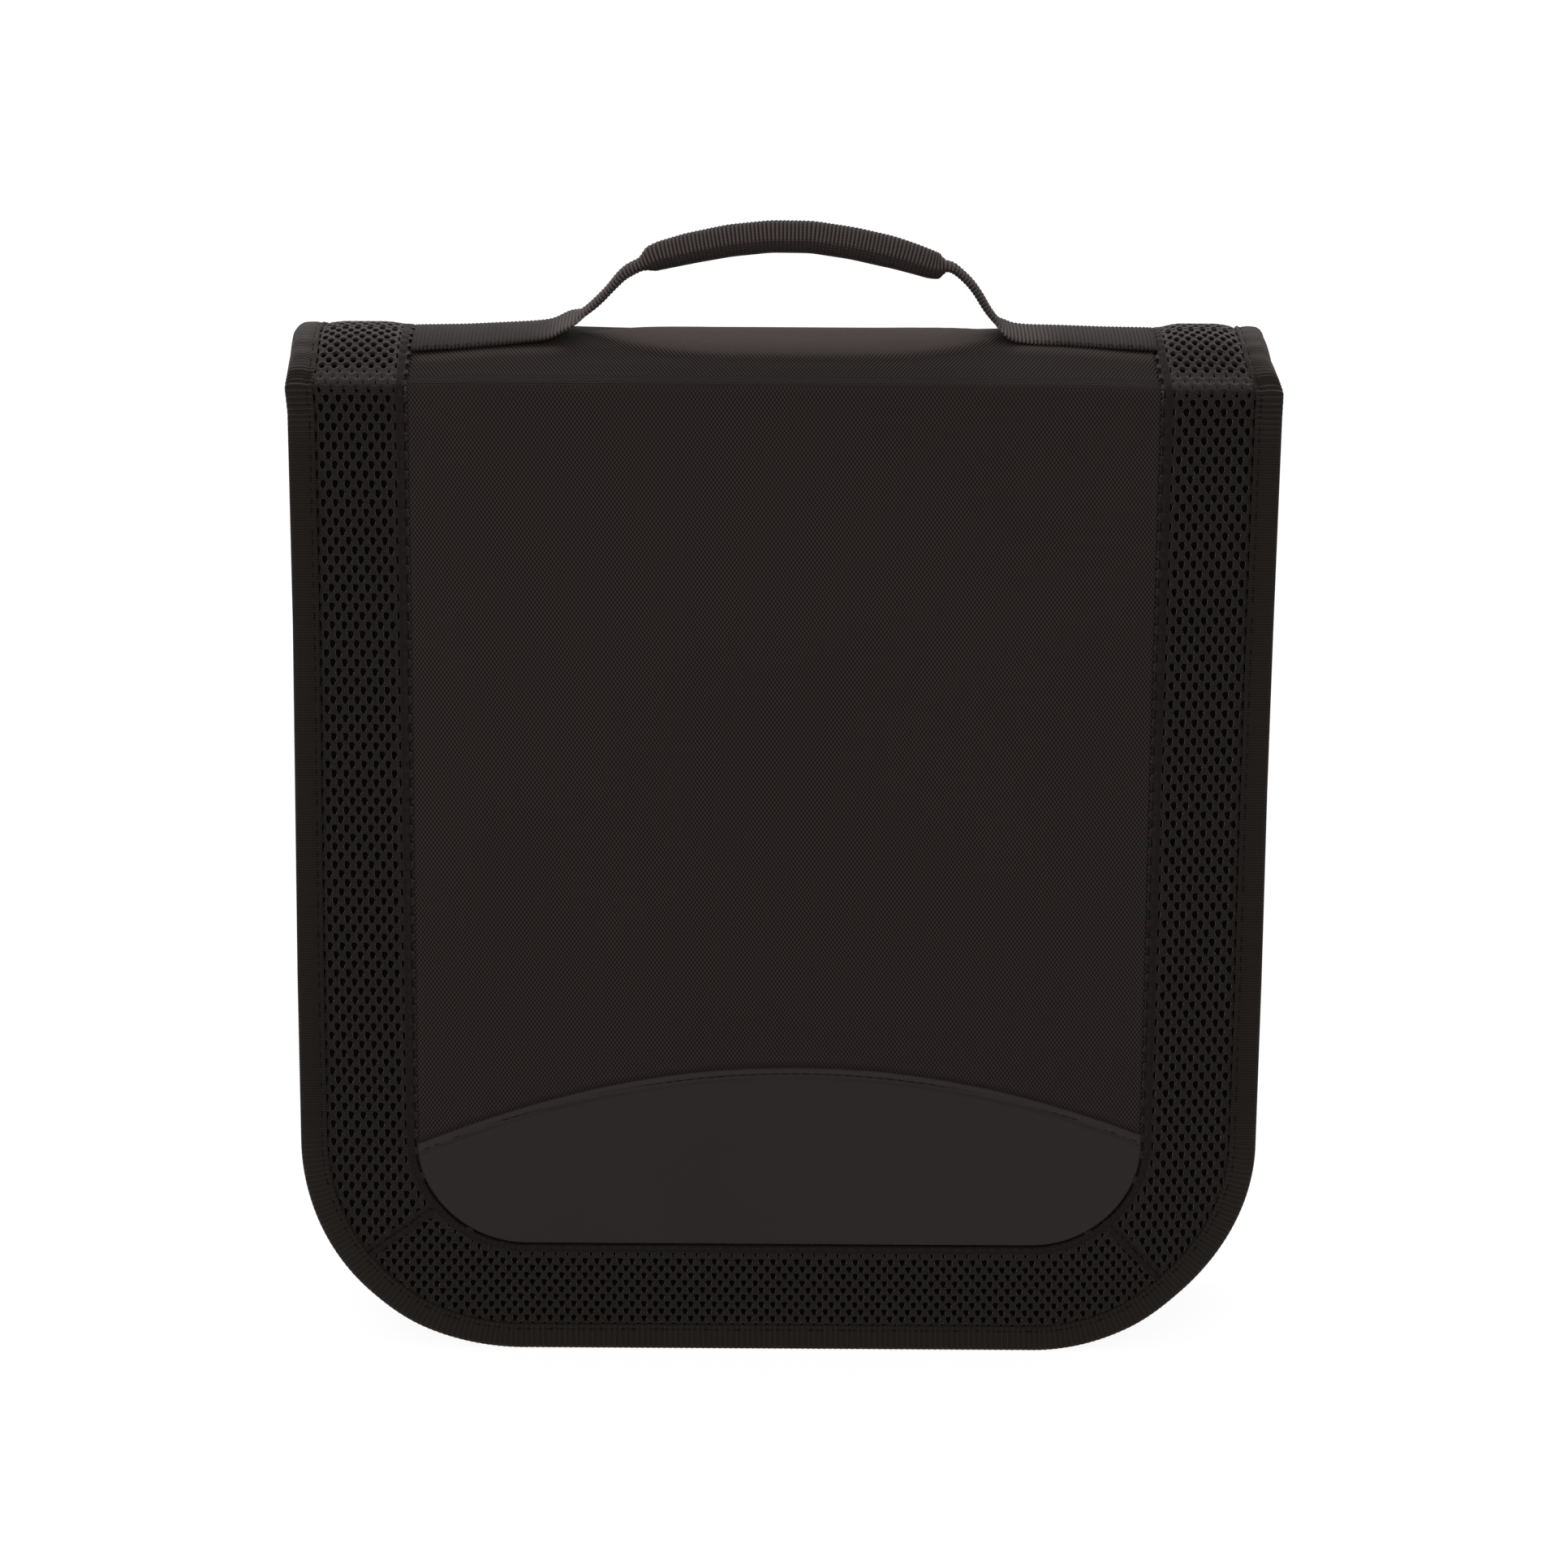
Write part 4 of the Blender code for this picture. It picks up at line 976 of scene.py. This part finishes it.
def binding_ribs(along, inset, height):
    """Cross ribs on the outside of the tape, which vanish where it is stretched over the spine."""
    ends = np.minimum(along, along.max() - along)
    outside = (height > -3.45 * MM) & ~((height < -0.8 * MM) & (inset > 0.85 * MM))
    strength = 0.02 * MM + 0.10 * MM * smooth(ends, 262 * MM, 285 * MM)
    strength += 0.28 * MM * smooth(ends, 26 * MM, 33 * MM) * (1 - smooth(ends, 44 * MM, 56 * MM))
    pucker = 0.14 * MM * np.sin(2 * math.pi * along / (9.5 * MM)) * np.sin(2 * math.pi * along / (61 * MM))
    return outside * (strength * np.cos(2 * math.pi * along / RIB_PITCH) + pucker * (inset > 1.5 * MM))


binding_path = edge_path(RIB_PITCH / 4)
BINDING_SECTION = [
    (8.0, -1.2), (8.05, -0.5), (7.8, 0.0), (7.35, 0.1), (6.9, -0.1), (6.4, -0.12), (5.9, 0.1), (4.6, 0.42),
    (3.0, 0.45), (1.6, 0.25), (0.6, -0.25), (0.1, -1.0), (0.0, -2.1), (0.4, -3.3), (1.5, -4.05), (3.5, -4.2),
    (8.0, -4.2), (8.0, -3.5), (2.0, -3.5), (1.05, -2.9), (0.95, -1.6), (1.9, -0.95),
]
for prefix, side in COVERS:
    binding = swept(prefix + "_edge_binding", binding_path, BINDING_SECTION, side, binding_tape, binding_ribs)
    lay_over(binding)
    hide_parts(prefix + "_binding", "spine_binding_left", "spine_binding_right")
    seam_line = along_edge(binding_path, BINDING_STITCH, -0.16 * MM)
    seam = stitches(prefix + "_binding_stitches", seam_line, 0.3 * MM, side)
    lay_over(seam)


# Foot panel on the front: smooth leatherette over foam. Its arched upper edge is turned under and topstitched
# into a soft lip; its lower edge is caught in the mesh seam.
FOOT_COLOUR = (0.0205, 0.0162, 0.0153)
LIP_STITCH = 2.3 * MM

leatherette, solid = finish_of("black leatherette", 0.52, 0.14, sheen=0.1)
pores = solid.node("ShaderNodeTexVoronoi", {"feature": "F1"}, {"Vector": solid, "Scale": 1500})
grain = solid.noise(700, 4)
cloudy = solid.noise(18, 3)
down = below_arch(*on_cloth(solid))
# Painted highlight on the rounded top of the lip, and painted shade in the stitch groove below it.
lip_highlight_and_groove_shade = (1 - down.between(1.2, 2.0)) * 0.55 - down.within((1.5, 2.3), (2.5, 3.6)) * 0.6
tone = (cloudy * 0.7 + grain * 0.3 + lip_highlight_and_groove_shade * 0.9).between(-1.0, 2.0)
tone = tone.tinted(*shades(FOOT_COLOUR, 0.45, 1.55))
connect(leatherette, tone, 0.5 + 0.12 * grain, grain + pores * 0.4, 0.05)

columns = spread(2 * PANEL_HALF, EDGE_STEPS, 3 * MM) - PANEL_HALF
LIP_SHARES = (0, 0.003, 0.008, 0.014, 0.02, 0.026, 0.032, 0.04, 0.055)
shares = np.concatenate((LIP_SHARES, np.linspace(0.08, 0.92, 22), [0.95, 0.97, 0.985, 0.995, 1]))
arch = run_at(arch_height(columns))
low = seam_run(columns) - SEAM_GAP
flat = flat_rows(columns, [arch + (low - arch) * share for share in shares])
arch_slope = np.arctan(2 * ARCH_BEND * (flat[:, 0] - ARCH_MIDDLE))
from_arch = (flat[:, 1] - run_at(arch_height(flat[:, 0]))) * np.cos(arch_slope)
inset, _ = inset_of(flat[:, 0], flat[:, 1])
from_seam = np.clip(inset - SEAM_INSET, 0, None)
rolled = np.clip(from_seam, 0, 2 * MM) / (2 * MM)
foot_height = -1.3 * MM + 1.4 * MM * np.sqrt(1 - (1 - rolled) ** 2) + 0.5 * MM * smooth(from_seam, 0, 22 * MM)
lip = np.clip(from_arch, 0, 1.1 * MM) / (1.1 * MM)
groove = np.exp(-((from_arch - LIP_STITCH) / (0.55 * MM)) ** 2)
lip_height = -0.7 * MM + 2.0 * MM * np.sqrt(1 - (1 - lip) ** 2) - 1.0 * MM * groove
lip_height += 0.2 * MM * smooth(from_arch, 3 * MM, 9 * MM)
flat[:, 2] = np.minimum(foot_height + 0.35 * MM, lip_height)
both = with_underside(flat, 0.3 * MM)
faces = slab_faces(len(shares), len(columns))
foot = sewn("front_foot_cover", over_case(both, FRONT), faces, both, leatherette)
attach(foot, "front_cover")
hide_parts("front_foot_panel")

lip_across = np.linspace(-PANEL_HALF + 1.5 * MM, PANEL_HALF - 1.5 * MM, 160)
lip_slope = np.arctan(2 * ARCH_BEND * (lip_across - ARCH_MIDDLE))
lip_run = run_at(arch_height(lip_across)) + LIP_STITCH / np.cos(lip_slope)
lip_line = np.column_stack((lip_across, lip_run, np.full(len(lip_across), 0.3 * MM)))
lip_seam = stitches("foot_lip_stitches", lip_line, 0.34 * MM, FRONT)
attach(lip_seam, "front_cover")


# Handle: one nylon webbing strap sewn flat on the crest at both ends. Between them it rises and closes round
# a soft core, so that the middle is a round grip. Two rows of stitches hold each flat end.
WEBBING_COLOUR = (0.0190, 0.0150, 0.0142)
WEBBING_HALF = 12.5 * MM
WEBBING_THICKNESS = 1.2 * MM
WEBBING_RIB = 1.15 * MM
STRAP_FOOT = 43
STRAP_LEVEL = 311.6 * MM
CREST = 311
HANDLE_PLACES = (
    (-109.6, 311.6), (-95, 311.7), (-82, 312.2), (-74, 312.5), (-69, 312.9), (-66.5, 313.6), (-64.2, 314.8),
    (-61.7, 315.9), (-59.3, 317.1), (-56.9, 319.0), (-54.5, 321.2), (-52.1, 323.7), (-49.7, 326.5),
    (-47.3, 329.2), (-44.8, 330.7), (-42.4, 331.8), (-37.6, 334.2), (-28.0, 336.7), (-16.1, 339.1),
    (-4.1, 340.4), (7.9, 340.3), (19.9, 338.5), (31.9, 335.8), (39.1, 333.6), (43.9, 331.9), (46.2, 331.6),
    (48.2, 332.3), (50.0, 331.2), (52.4, 329.1), (54.8, 326.8), (57.3, 323.2), (59.7, 318.9), (62.0, 315.7),
    (64.5, 313.4), (67.5, 312.4), (72, 312.1), (82, 312.0), (95, 311.7), (109.6, 311.6),
)
FOLDS = ((-64.5, -54), (58, 67))
GRIP_ENDS = ((-43.2, -38.8), (45.4, 48.2))
GRIP_TAPER = (
    (-43, 0.7), (-39, 0.78), (-36.5, 0.86), (-29, 0.95), (-16, 1), (30, 1), (33, 0.97), (38, 0.92),
    (43, 0.85), (45.6, 0.77), (48.4, 0.64),
)
GRIP_RUN = ((70, 76), (170, 176))
PAINTED_LIGHT_RUN = ((34, 48), (198, 212))
GRIP_SWELL = ((-52, 0), (-46, 0.6), (-40, 0.6), (0, 0), (44, 0), (47, 0.3), (52, 0))
HALF_OFFSETS = (0.12, 0.25, 0.38, 0.52, 0.66, 0.8, 0.93, 0.985, 1)

webbing, solid = finish_of("black webbing", 0.78, 0.14, sheen=0.16)
along, across = on_cloth(solid)
fuzz = solid.noise(1500, 3)
ribs = (along + solid.noise(400, 2) * 0.1).wave(WEBBING_RIB / MM)
yarns = across.wave(0.8)
underside = along.within(*GRIP_RUN) * (1 - across.between(5.3, 6.6))
ribs = ribs * (1 - 0.85 * underside)
# The risers and grip of the handle are painted lighter than its flat feet: painted light on the raised
# webbing, and painted shade on the feet against the sheen they catch.
raised = along.within(*PAINTED_LIGHT_RUN)
tone = (ribs * 0.75 + yarns * 0.1 + fuzz * 0.3 + underside * 0.1).between(0.05, 1.1) * (0.28 + 0.72 * raised)
tone = tone.tinted(*shades(WEBBING_COLOUR, 0.15, 5.5))
connect(webbing, tone, 0.7 + 0.25 * fuzz, yarns * 0.4 + fuzz * 0.5 + ribs, 0.14)


def evened(values, width):
    """Take the corners out of a line by a running mean, taken twice, with its two ends held."""
    padded = np.concatenate((np.full(width, values[0]), values, np.full(width, values[-1])))
    kernel = np.ones(width) / width
    return np.convolve(np.convolve(padded, kernel, "same"), kernel, "same")[width:-width]


def strap_skew(x):
    """How far forward the strap lies, and how much wider its half is, at a place across, in millimetres."""
    share = np.clip((np.abs(x) - STRAP_TURNS) / STRAP_FOOT, 0, 1)
    return np.where(np.less(x, 0), 0.8 + 4.4 * share, -1.4 + 3.4 * share), 0.8 * share


places = np.array(HANDLE_PLACES) * MM
along = np.concatenate(([0], np.cumsum(np.hypot(*np.diff(places, axis=0).T))))
stations = np.linspace(0, along[-1], round(along[-1] / (WEBBING_RIB / 4)) + 1)
line = np.column_stack([evened(np.interp(stations, along, places[:, axis]), 13) for axis in range(2)])
line[:, 0] += np.linspace(places[0, 0] - line[0, 0], places[-1, 0] - line[-1, 0], len(line))
line_ahead = np.gradient(line, axis=0)
line_ahead /= np.hypot(*line_ahead.T)[:, None]
offsets = np.array([-offset for offset in HALF_OFFSETS[::-1]] + [0, *HALF_OFFSETS])
rings, fabric = [], []
for station, (x, z), ahead in zip(stations, line, line_ahead):
    windows = [smooth(x / MM, *rise) * (1 - smooth(x / MM, *fall)) for rise, fall in (FOLDS, GRIP_ENDS)]
    folded, grip = (float(window) for window in windows)
    resting = 1 - float(smooth(z, STRAP_LEVEL, STRAP_LEVEL + 3 * MM))
    swollen = float(np.interp(x / MM, *zip(*GRIP_SWELL)))
    taper = float(np.interp(x / MM, *zip(*GRIP_TAPER)))
    wide = (4.1 + 0.3 * taper * grip) * MM
    tall = ((0.62 + swollen) * (1 - grip) + 4.3 * taper * grip) * MM
    up = (-ahead[1], ahead[0])
    rib = 0.13 * MM * math.cos(2 * math.pi * station / WEBBING_RIB)
    forward, wider = strap_skew(x / MM)
    half_width = WEBBING_HALF + wider * MM
    for surface in (1, -1):
        for offset in offsets[::surface]:
            turn = math.pi * 0.95 * offset
            normal = Vector((math.sin(turn) * tall, math.cos(turn) * wide)).normalized()
            edge = (1 - abs(offset) ** 10) ** 0.5
            ribbed = 1 - grip * float(smooth(abs(offset), 0.45, 0.6))
            shift = surface * (WEBBING_THICKNESS / 2 * (0.35 + 0.65 * edge) + rib * ribbed)
            flat_aside = offset * half_width - forward * MM
            flat_lift = shift - resting * flat_aside ** 2 / (2 * SPINE_RADIUS)
            aside = (1 - folded) * flat_aside + folded * (wide * math.sin(turn) + shift * normal[0])
            lift = (1 - folded) * flat_lift + folded * (tall * math.cos(turn) + shift * normal[1])
            rings.append((x + up[0] * lift, aside, z + up[1] * lift))
            fabric.append((station, (offset + 1) * WEBBING_HALF))
sides = 2 * len(offsets)
faces = tube_faces(len(stations), sides)
for start in (0, (len(stations) - 1) * sides):
    for step in range(len(offsets) - 1):
        mate = sides - 1 - step
        faces.append((start + step, start + step + 1, start + mate - 1, start + mate))
strap = sewn("handle_strap", rings, faces, fabric, webbing)
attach(strap, "spine")
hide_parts("handle_webbing")


def dress(material, *nodes):
    """Give CAD parts a material."""
    for node in nodes:
        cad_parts[node].data.materials.clear()
        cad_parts[node].data.materials.append(material)


core_foam, solid = finish_of("handle core foam", 0.9, 0.1)
connect(core_foam, solid.noise(500, 2).tinted((0.006, 0.005, 0.005), (0.012, 0.011, 0.010)))
dress(core_foam, "handle_core")

for name, side in COVERS:
    for where, mirror in ENDS:
        spots = mirror * np.linspace(73, 108, 30)
        forward, wider = strap_skew(spots)
        runs = 11.3 + (wider - side * forward)
        tops = np.interp(spots, *zip(*HANDLE_PLACES)) + (0.45 if side == FRONT else 0.2) - CREST
        strap_line = np.column_stack((spots * MM, runs * MM, tops * MM))
        seam = stitches(f"strap_stitches_{name}_{where}", strap_line, 0.32 * MM, side, 2.2 * MM, 0.9 * MM)
        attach(seam, "spine")


# Gusset walls and zip: each cover carries a soft cloth wall sewn into the binding, with its half of the zip,
# a nylon coil on a woven tape, at the wall's free edge. The same cloth closes the two ends of the spine.
COVER_TOP = 302.4 * MM
COIL_INSET = 10.55 * MM
COIL_LEVEL = -(37.5 - 1.08) * MM
COIL_PITCH = 1.45 * MM
COIL_TURN = (1.25 * MM, 0.6 * MM, 0.74 * MM)
COIL_WIRE = 0.42
END_CLOTH = (132.9 * MM, 133.4 * MM)

gusset_cloth = twill_material("gusset cloth", (0.0135, 0.0112, 0.0105), over_spine=False)

zip_cloth, solid = finish_of("zip tape cloth", 0.88, 0.12, sheen=0.25)
along, across = on_cloth(solid)
fuzz = solid.noise(1400, 2)
herring = (along + (across - 6.5).without_sign()).wave(0.8)
tone = (herring * 0.5 + fuzz * 0.5).tinted((0.008, 0.007, 0.0066), (0.019, 0.016, 0.015))
connect(zip_cloth, tone, None, herring + fuzz * 0.4, 0.1)

coil_nylon, solid = finish_of("black nylon coil", 0.38, 0.45)
connect(coil_nylon, solid.noise(700, 2).tinted((0.009, 0.008, 0.008), (0.02, 0.018, 0.017)))


def cover_path(step):
    """The part of the outline that lies on a cover, below the spine's fold."""
    places, inward, along = edge_path(step)
    kept = places[:, 1] >= run_at(COVER_TOP)
    return places[kept], inward[kept], along[kept] - along[kept].min()


def coil_tooth():
    """One turn of the zip coil: a small flattened ring across the tape."""
    points = []
    for step in range(6):
        angle = 2 * math.pi * step / 6
        for turn in range(4):
            small = math.pi / 2 * turn
            arm = 1 + COIL_WIRE * math.cos(small)
            aside = COIL_WIRE * math.sin(small) + 0.12 * math.sin(angle)
            points.append((aside, arm * math.cos(angle), arm * math.sin(angle)))
    return points, ring_faces(6, 4)


tooth = small_shape("coil_tooth", *coil_tooth())
WALL_SECTION = [
    (2.0, -2.45), (8.6, -2.45), (9.6, -2.75), (9.85, -4.0), (10.0, -9), (10.05, -14), (9.9, -20),
    (9.8, -24.3), (8.5, -24.3), (8.3, -20), (8.15, -14), (8.25, -9), (8.35, -4.4), (7.9, -3.1), (2.0, -3.1),
]
TAPE_SECTION = [(10.15, -21.5), (10.9, -21.5), (10.95, -28), (10.85, -36.3), (10.2, -36.3), (10.1, -28)]
for prefix, side in COVERS:
    body = prefix + "_cover"
    wall = swept(prefix + "_gusset_wall", cover_path(1.6 * MM), WALL_SECTION, side, gusset_cloth)
    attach(wall, body)
    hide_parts(prefix + "_side_wall")
    tape = swept(prefix + "_zip_tape_cloth", cover_path(1.6 * MM), TAPE_SECTION, side, zip_cloth)
    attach(tape, body)
    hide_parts(prefix + "_zip_tape")
    places, inward, along = cover_path(0.3 * MM)
    marks = np.arange(0.8 * MM, along[-1] - 0.8 * MM, COIL_PITCH)
    middle = (places + inward * COIL_INSET).T
    spots = [np.interp(marks, along, axis) for axis in middle]
    ahead = [np.interp(marks, along, np.gradient(axis)) for axis in middle]
    spots = np.column_stack((*spots, np.full(len(marks), COIL_LEVEL)))
    turns = np.arctan2(ahead[1], ahead[0])
    mesh = repeated(prefix + "_zip_teeth", tooth, spots, turns, COIL_TURN, 0.0, coil_nylon)
    teeth = bent(prefix + "_zip_teeth", mesh, side, coil_nylon)
    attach(teeth, body)
    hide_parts(prefix + "_zip_coil")
bpy.data.objects.remove(tooth)

deep = np.linspace(-31.5, 31.5, 22) * MM
tops = SPINE_CENTRE + np.sqrt((SPINE_RADIUS - 5 * MM) ** 2 - deep * deep)
for name, sign in ENDS:
    points = []
    for x in END_CLOTH:
        points += [(sign * x, y, 299 * MM) for y in deep]
        points += [(sign * x, y, top) for y, top in zip(deep, tops)]
    fabric = [(y, z) for _, y, z in points]
    end_cloth = sewn("spine_end_cloth_" + name, points, slab_faces(2, len(deep)), fabric, gusset_cloth)
    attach(end_cloth, "spine")

metal, solid = finish_of("black nickel", 0.34, 0.5, metallic=1.0)
rub = solid.noise(300, 4)
tone = rub.between(0.45, 0.75).tinted((0.045, 0.044, 0.046), (0.11, 0.107, 0.104))
connect(metal, tone, 0.26 + 0.22 * rub, solid.noise(900, 2), 0.02)
dress(metal, "zip_slider", "zip_pull")

tab_cloth, solid = finish_of("end tab cloth", 0.88, 0.12, sheen=0.2)
_, y, z = solid.axes()
weave = y.wave(0.7) * z.wave(0.7)
tone = (weave * 0.5 + solid.noise(1200, 2) * 0.5).tinted((0.008, 0.007, 0.0065), (0.018, 0.0155, 0.0145))
connect(tab_cloth, tone, None, weave, 0.1)
dress(tab_cloth, "zip_end_tab_left", "zip_end_tab_right")


# Stiffeners and linings: fibre boards inside the covers and the spine, faced inside with brushed lining cloth
# that runs over the fold in one piece.
LINING_DEPTH = 4.7 * MM
LINING_FOLD = 2 * MM
LINING_INSET = 10.4 * MM
LINING_ROWS = np.concatenate((np.linspace(0, 27, 8), np.linspace(28, 37, 13), [40, 44]))

fibre_board, solid = finish_of("grey fibre board", 0.9, 0.2)
tone = solid.noise(160, 5).tinted((0.07, 0.068, 0.064), (0.13, 0.127, 0.12))
connect(fibre_board, tone, None, solid.noise(900, 3), 0.05)
dress(fibre_board, "spine_board", "front_board", "back_board")

lining_cloth, solid = finish_of("brushed lining", 0.92, 0.1, sheen=0.4)
nap = solid.noise(900, 4)
tone = (nap * 0.7 + solid.noise(25, 2) * 0.3).tinted((0.009, 0.009, 0.009), (0.021, 0.0205, 0.0205))
connect(lining_cloth, tone, None, nap, 0.15)
dress(lining_cloth, "page_anchor_strip")

lining_half = HALF_WIDTH - LINING_INSET
inner_radius = SPINE_RADIUS - LINING_DEPTH
inner_reach = HALF_DEPTH - LINING_DEPTH - LINING_FOLD
inner_lean = math.asin(inner_reach / (inner_radius - LINING_FOLD))
inner_face_run = inner_radius * inner_lean + LINING_FOLD * (math.pi / 2 - inner_lean)
inner_fold_top = SPINE_CENTRE + math.sqrt((inner_radius - LINING_FOLD) ** 2 - inner_reach ** 2)
inner_corner = inner_face_run + inner_fold_top - CORNER_RADIUS
for prefix, side in COVERS:
    columns = spread(2 * lining_half, (0, 0.5, 1.5, 4), 6 * MM) - lining_half
    beyond = np.clip(np.abs(columns) - CORNER_START, 0, None)
    ends = inner_corner + np.sqrt(np.clip((CORNER_RADIUS - LINING_INSET) ** 2 - beyond ** 2, 0, None))
    rows = [row * MM for row in LINING_ROWS]
    rows += [rows[-1] + (ends - rows[-1]) * share for share in np.linspace(0.03, 1, 34)]
    flat = flat_rows(columns, rows)
    both = np.concatenate((flat, flat - (0, 0, 0.6 * MM)))
    points = over_case(both, side, LINING_DEPTH, LINING_FOLD)
    faces = slab_faces(len(rows), len(columns))
    lining = sewn(prefix + "_inner_lining", points, faces, both, lining_cloth)
    lay_over(lining)
    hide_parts(prefix + "_lining", "spine_lining")


# Pages: fifteen leaves of film pockets, welded round their edges and across the middle, and sewn together
# under the spine in one block.
PAGE_HALF = 130 * MM
PAGE_TOP = 302 * MM
PAGE_LOW = 15 * MM
PAGE_CORNER = 53 * MM
LEAVES = 15
LEAF_THICKNESS = 1.6
BLOCK_HALF = 29.5
LEAF_PITCH = (2 * BLOCK_HALF - LEAF_THICKNESS) / (LEAVES - 1) * MM

page_film, solid = finish_of("page film", 0.3, 0.5, coat=0.3)
across, up = on_cloth(solid)
wrinkle = solid.noise(30, 4)
weld = (across.wave(1.2) * up.wave(1.2)) * 0.3
tone = wrinkle.tinted((0.05, 0.05, 0.055), (0.10, 0.10, 0.108))
connect(page_film, tone, 0.2 + 0.3 * wrinkle, wrinkle + weld, 0.3)

right_columns = (*np.linspace(8, 116, 6), *np.linspace(124, 130, 4))
left_columns = (*np.linspace(-130, -124, 4), *np.linspace(-116, -8, 6))
columns = np.array((*left_columns, -2, 0, 2, *right_columns)) * MM
lower_shares = (0, 0.015, 0.03, 0.06, *np.linspace(0.1, 0.44, 7))
upper_shares = (*np.linspace(0.54, 0.94, 8), 0.98, 0.99, 1)
shares = np.array((*lower_shares, 0.475, 0.49, 0.505, *upper_shares))
beyond = np.clip(np.abs(columns) - (PAGE_HALF - PAGE_CORNER), 0, None)
lows = PAGE_LOW + PAGE_CORNER - np.sqrt(np.clip(PAGE_CORNER ** 2 - beyond ** 2, 0, None))
points, faces, fabric = [], [], []
for leaf in range(LEAVES):
    middle = -BLOCK_HALF * MM + LEAF_THICKNESS / 2 * MM + leaf * LEAF_PITCH
    for surface in (-1, 1):
        for share in shares:
            for x, low in zip(columns, lows):
                z = low + (PAGE_TOP - low) * share
                pocket_x = smooth(min(abs(x) - 1.5 * MM, PAGE_HALF - abs(x) - 2 * MM), 0, 9 * MM)
                pocket_z = smooth(min(share - 0.01, abs(share - 0.49) - 0.008, 0.985 - share), 0, 0.05)
                full = float(pocket_x * pocket_z)
                points.append((x, middle + surface * (0.35 + 0.75 * full) * MM, z))
                fabric.append((x, z))
    base = leaf * 2 * len(shares) * len(columns)
    faces += [tuple(base + index for index in face) for face in slab_faces(len(shares), len(columns))]
leaves = sewn("page_leaves", points, faces, fabric, page_film)
header_columns = np.linspace(-130, 130, 40) * MM
points = []
for z in (296.2, 301.9):
    for y in (-29.4, 29.4):
        points += [(x, y * MM, z * MM) for x in header_columns]
fabric = [(x, y) for x, y, _ in points]
header = sewn("page_header", points, slab_faces(2, len(header_columns)), fabric, page_film)
for piece in (leaves, header):
    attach(piece, "spine")
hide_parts("disc_pages")

bpy.data.objects.remove(stitch)
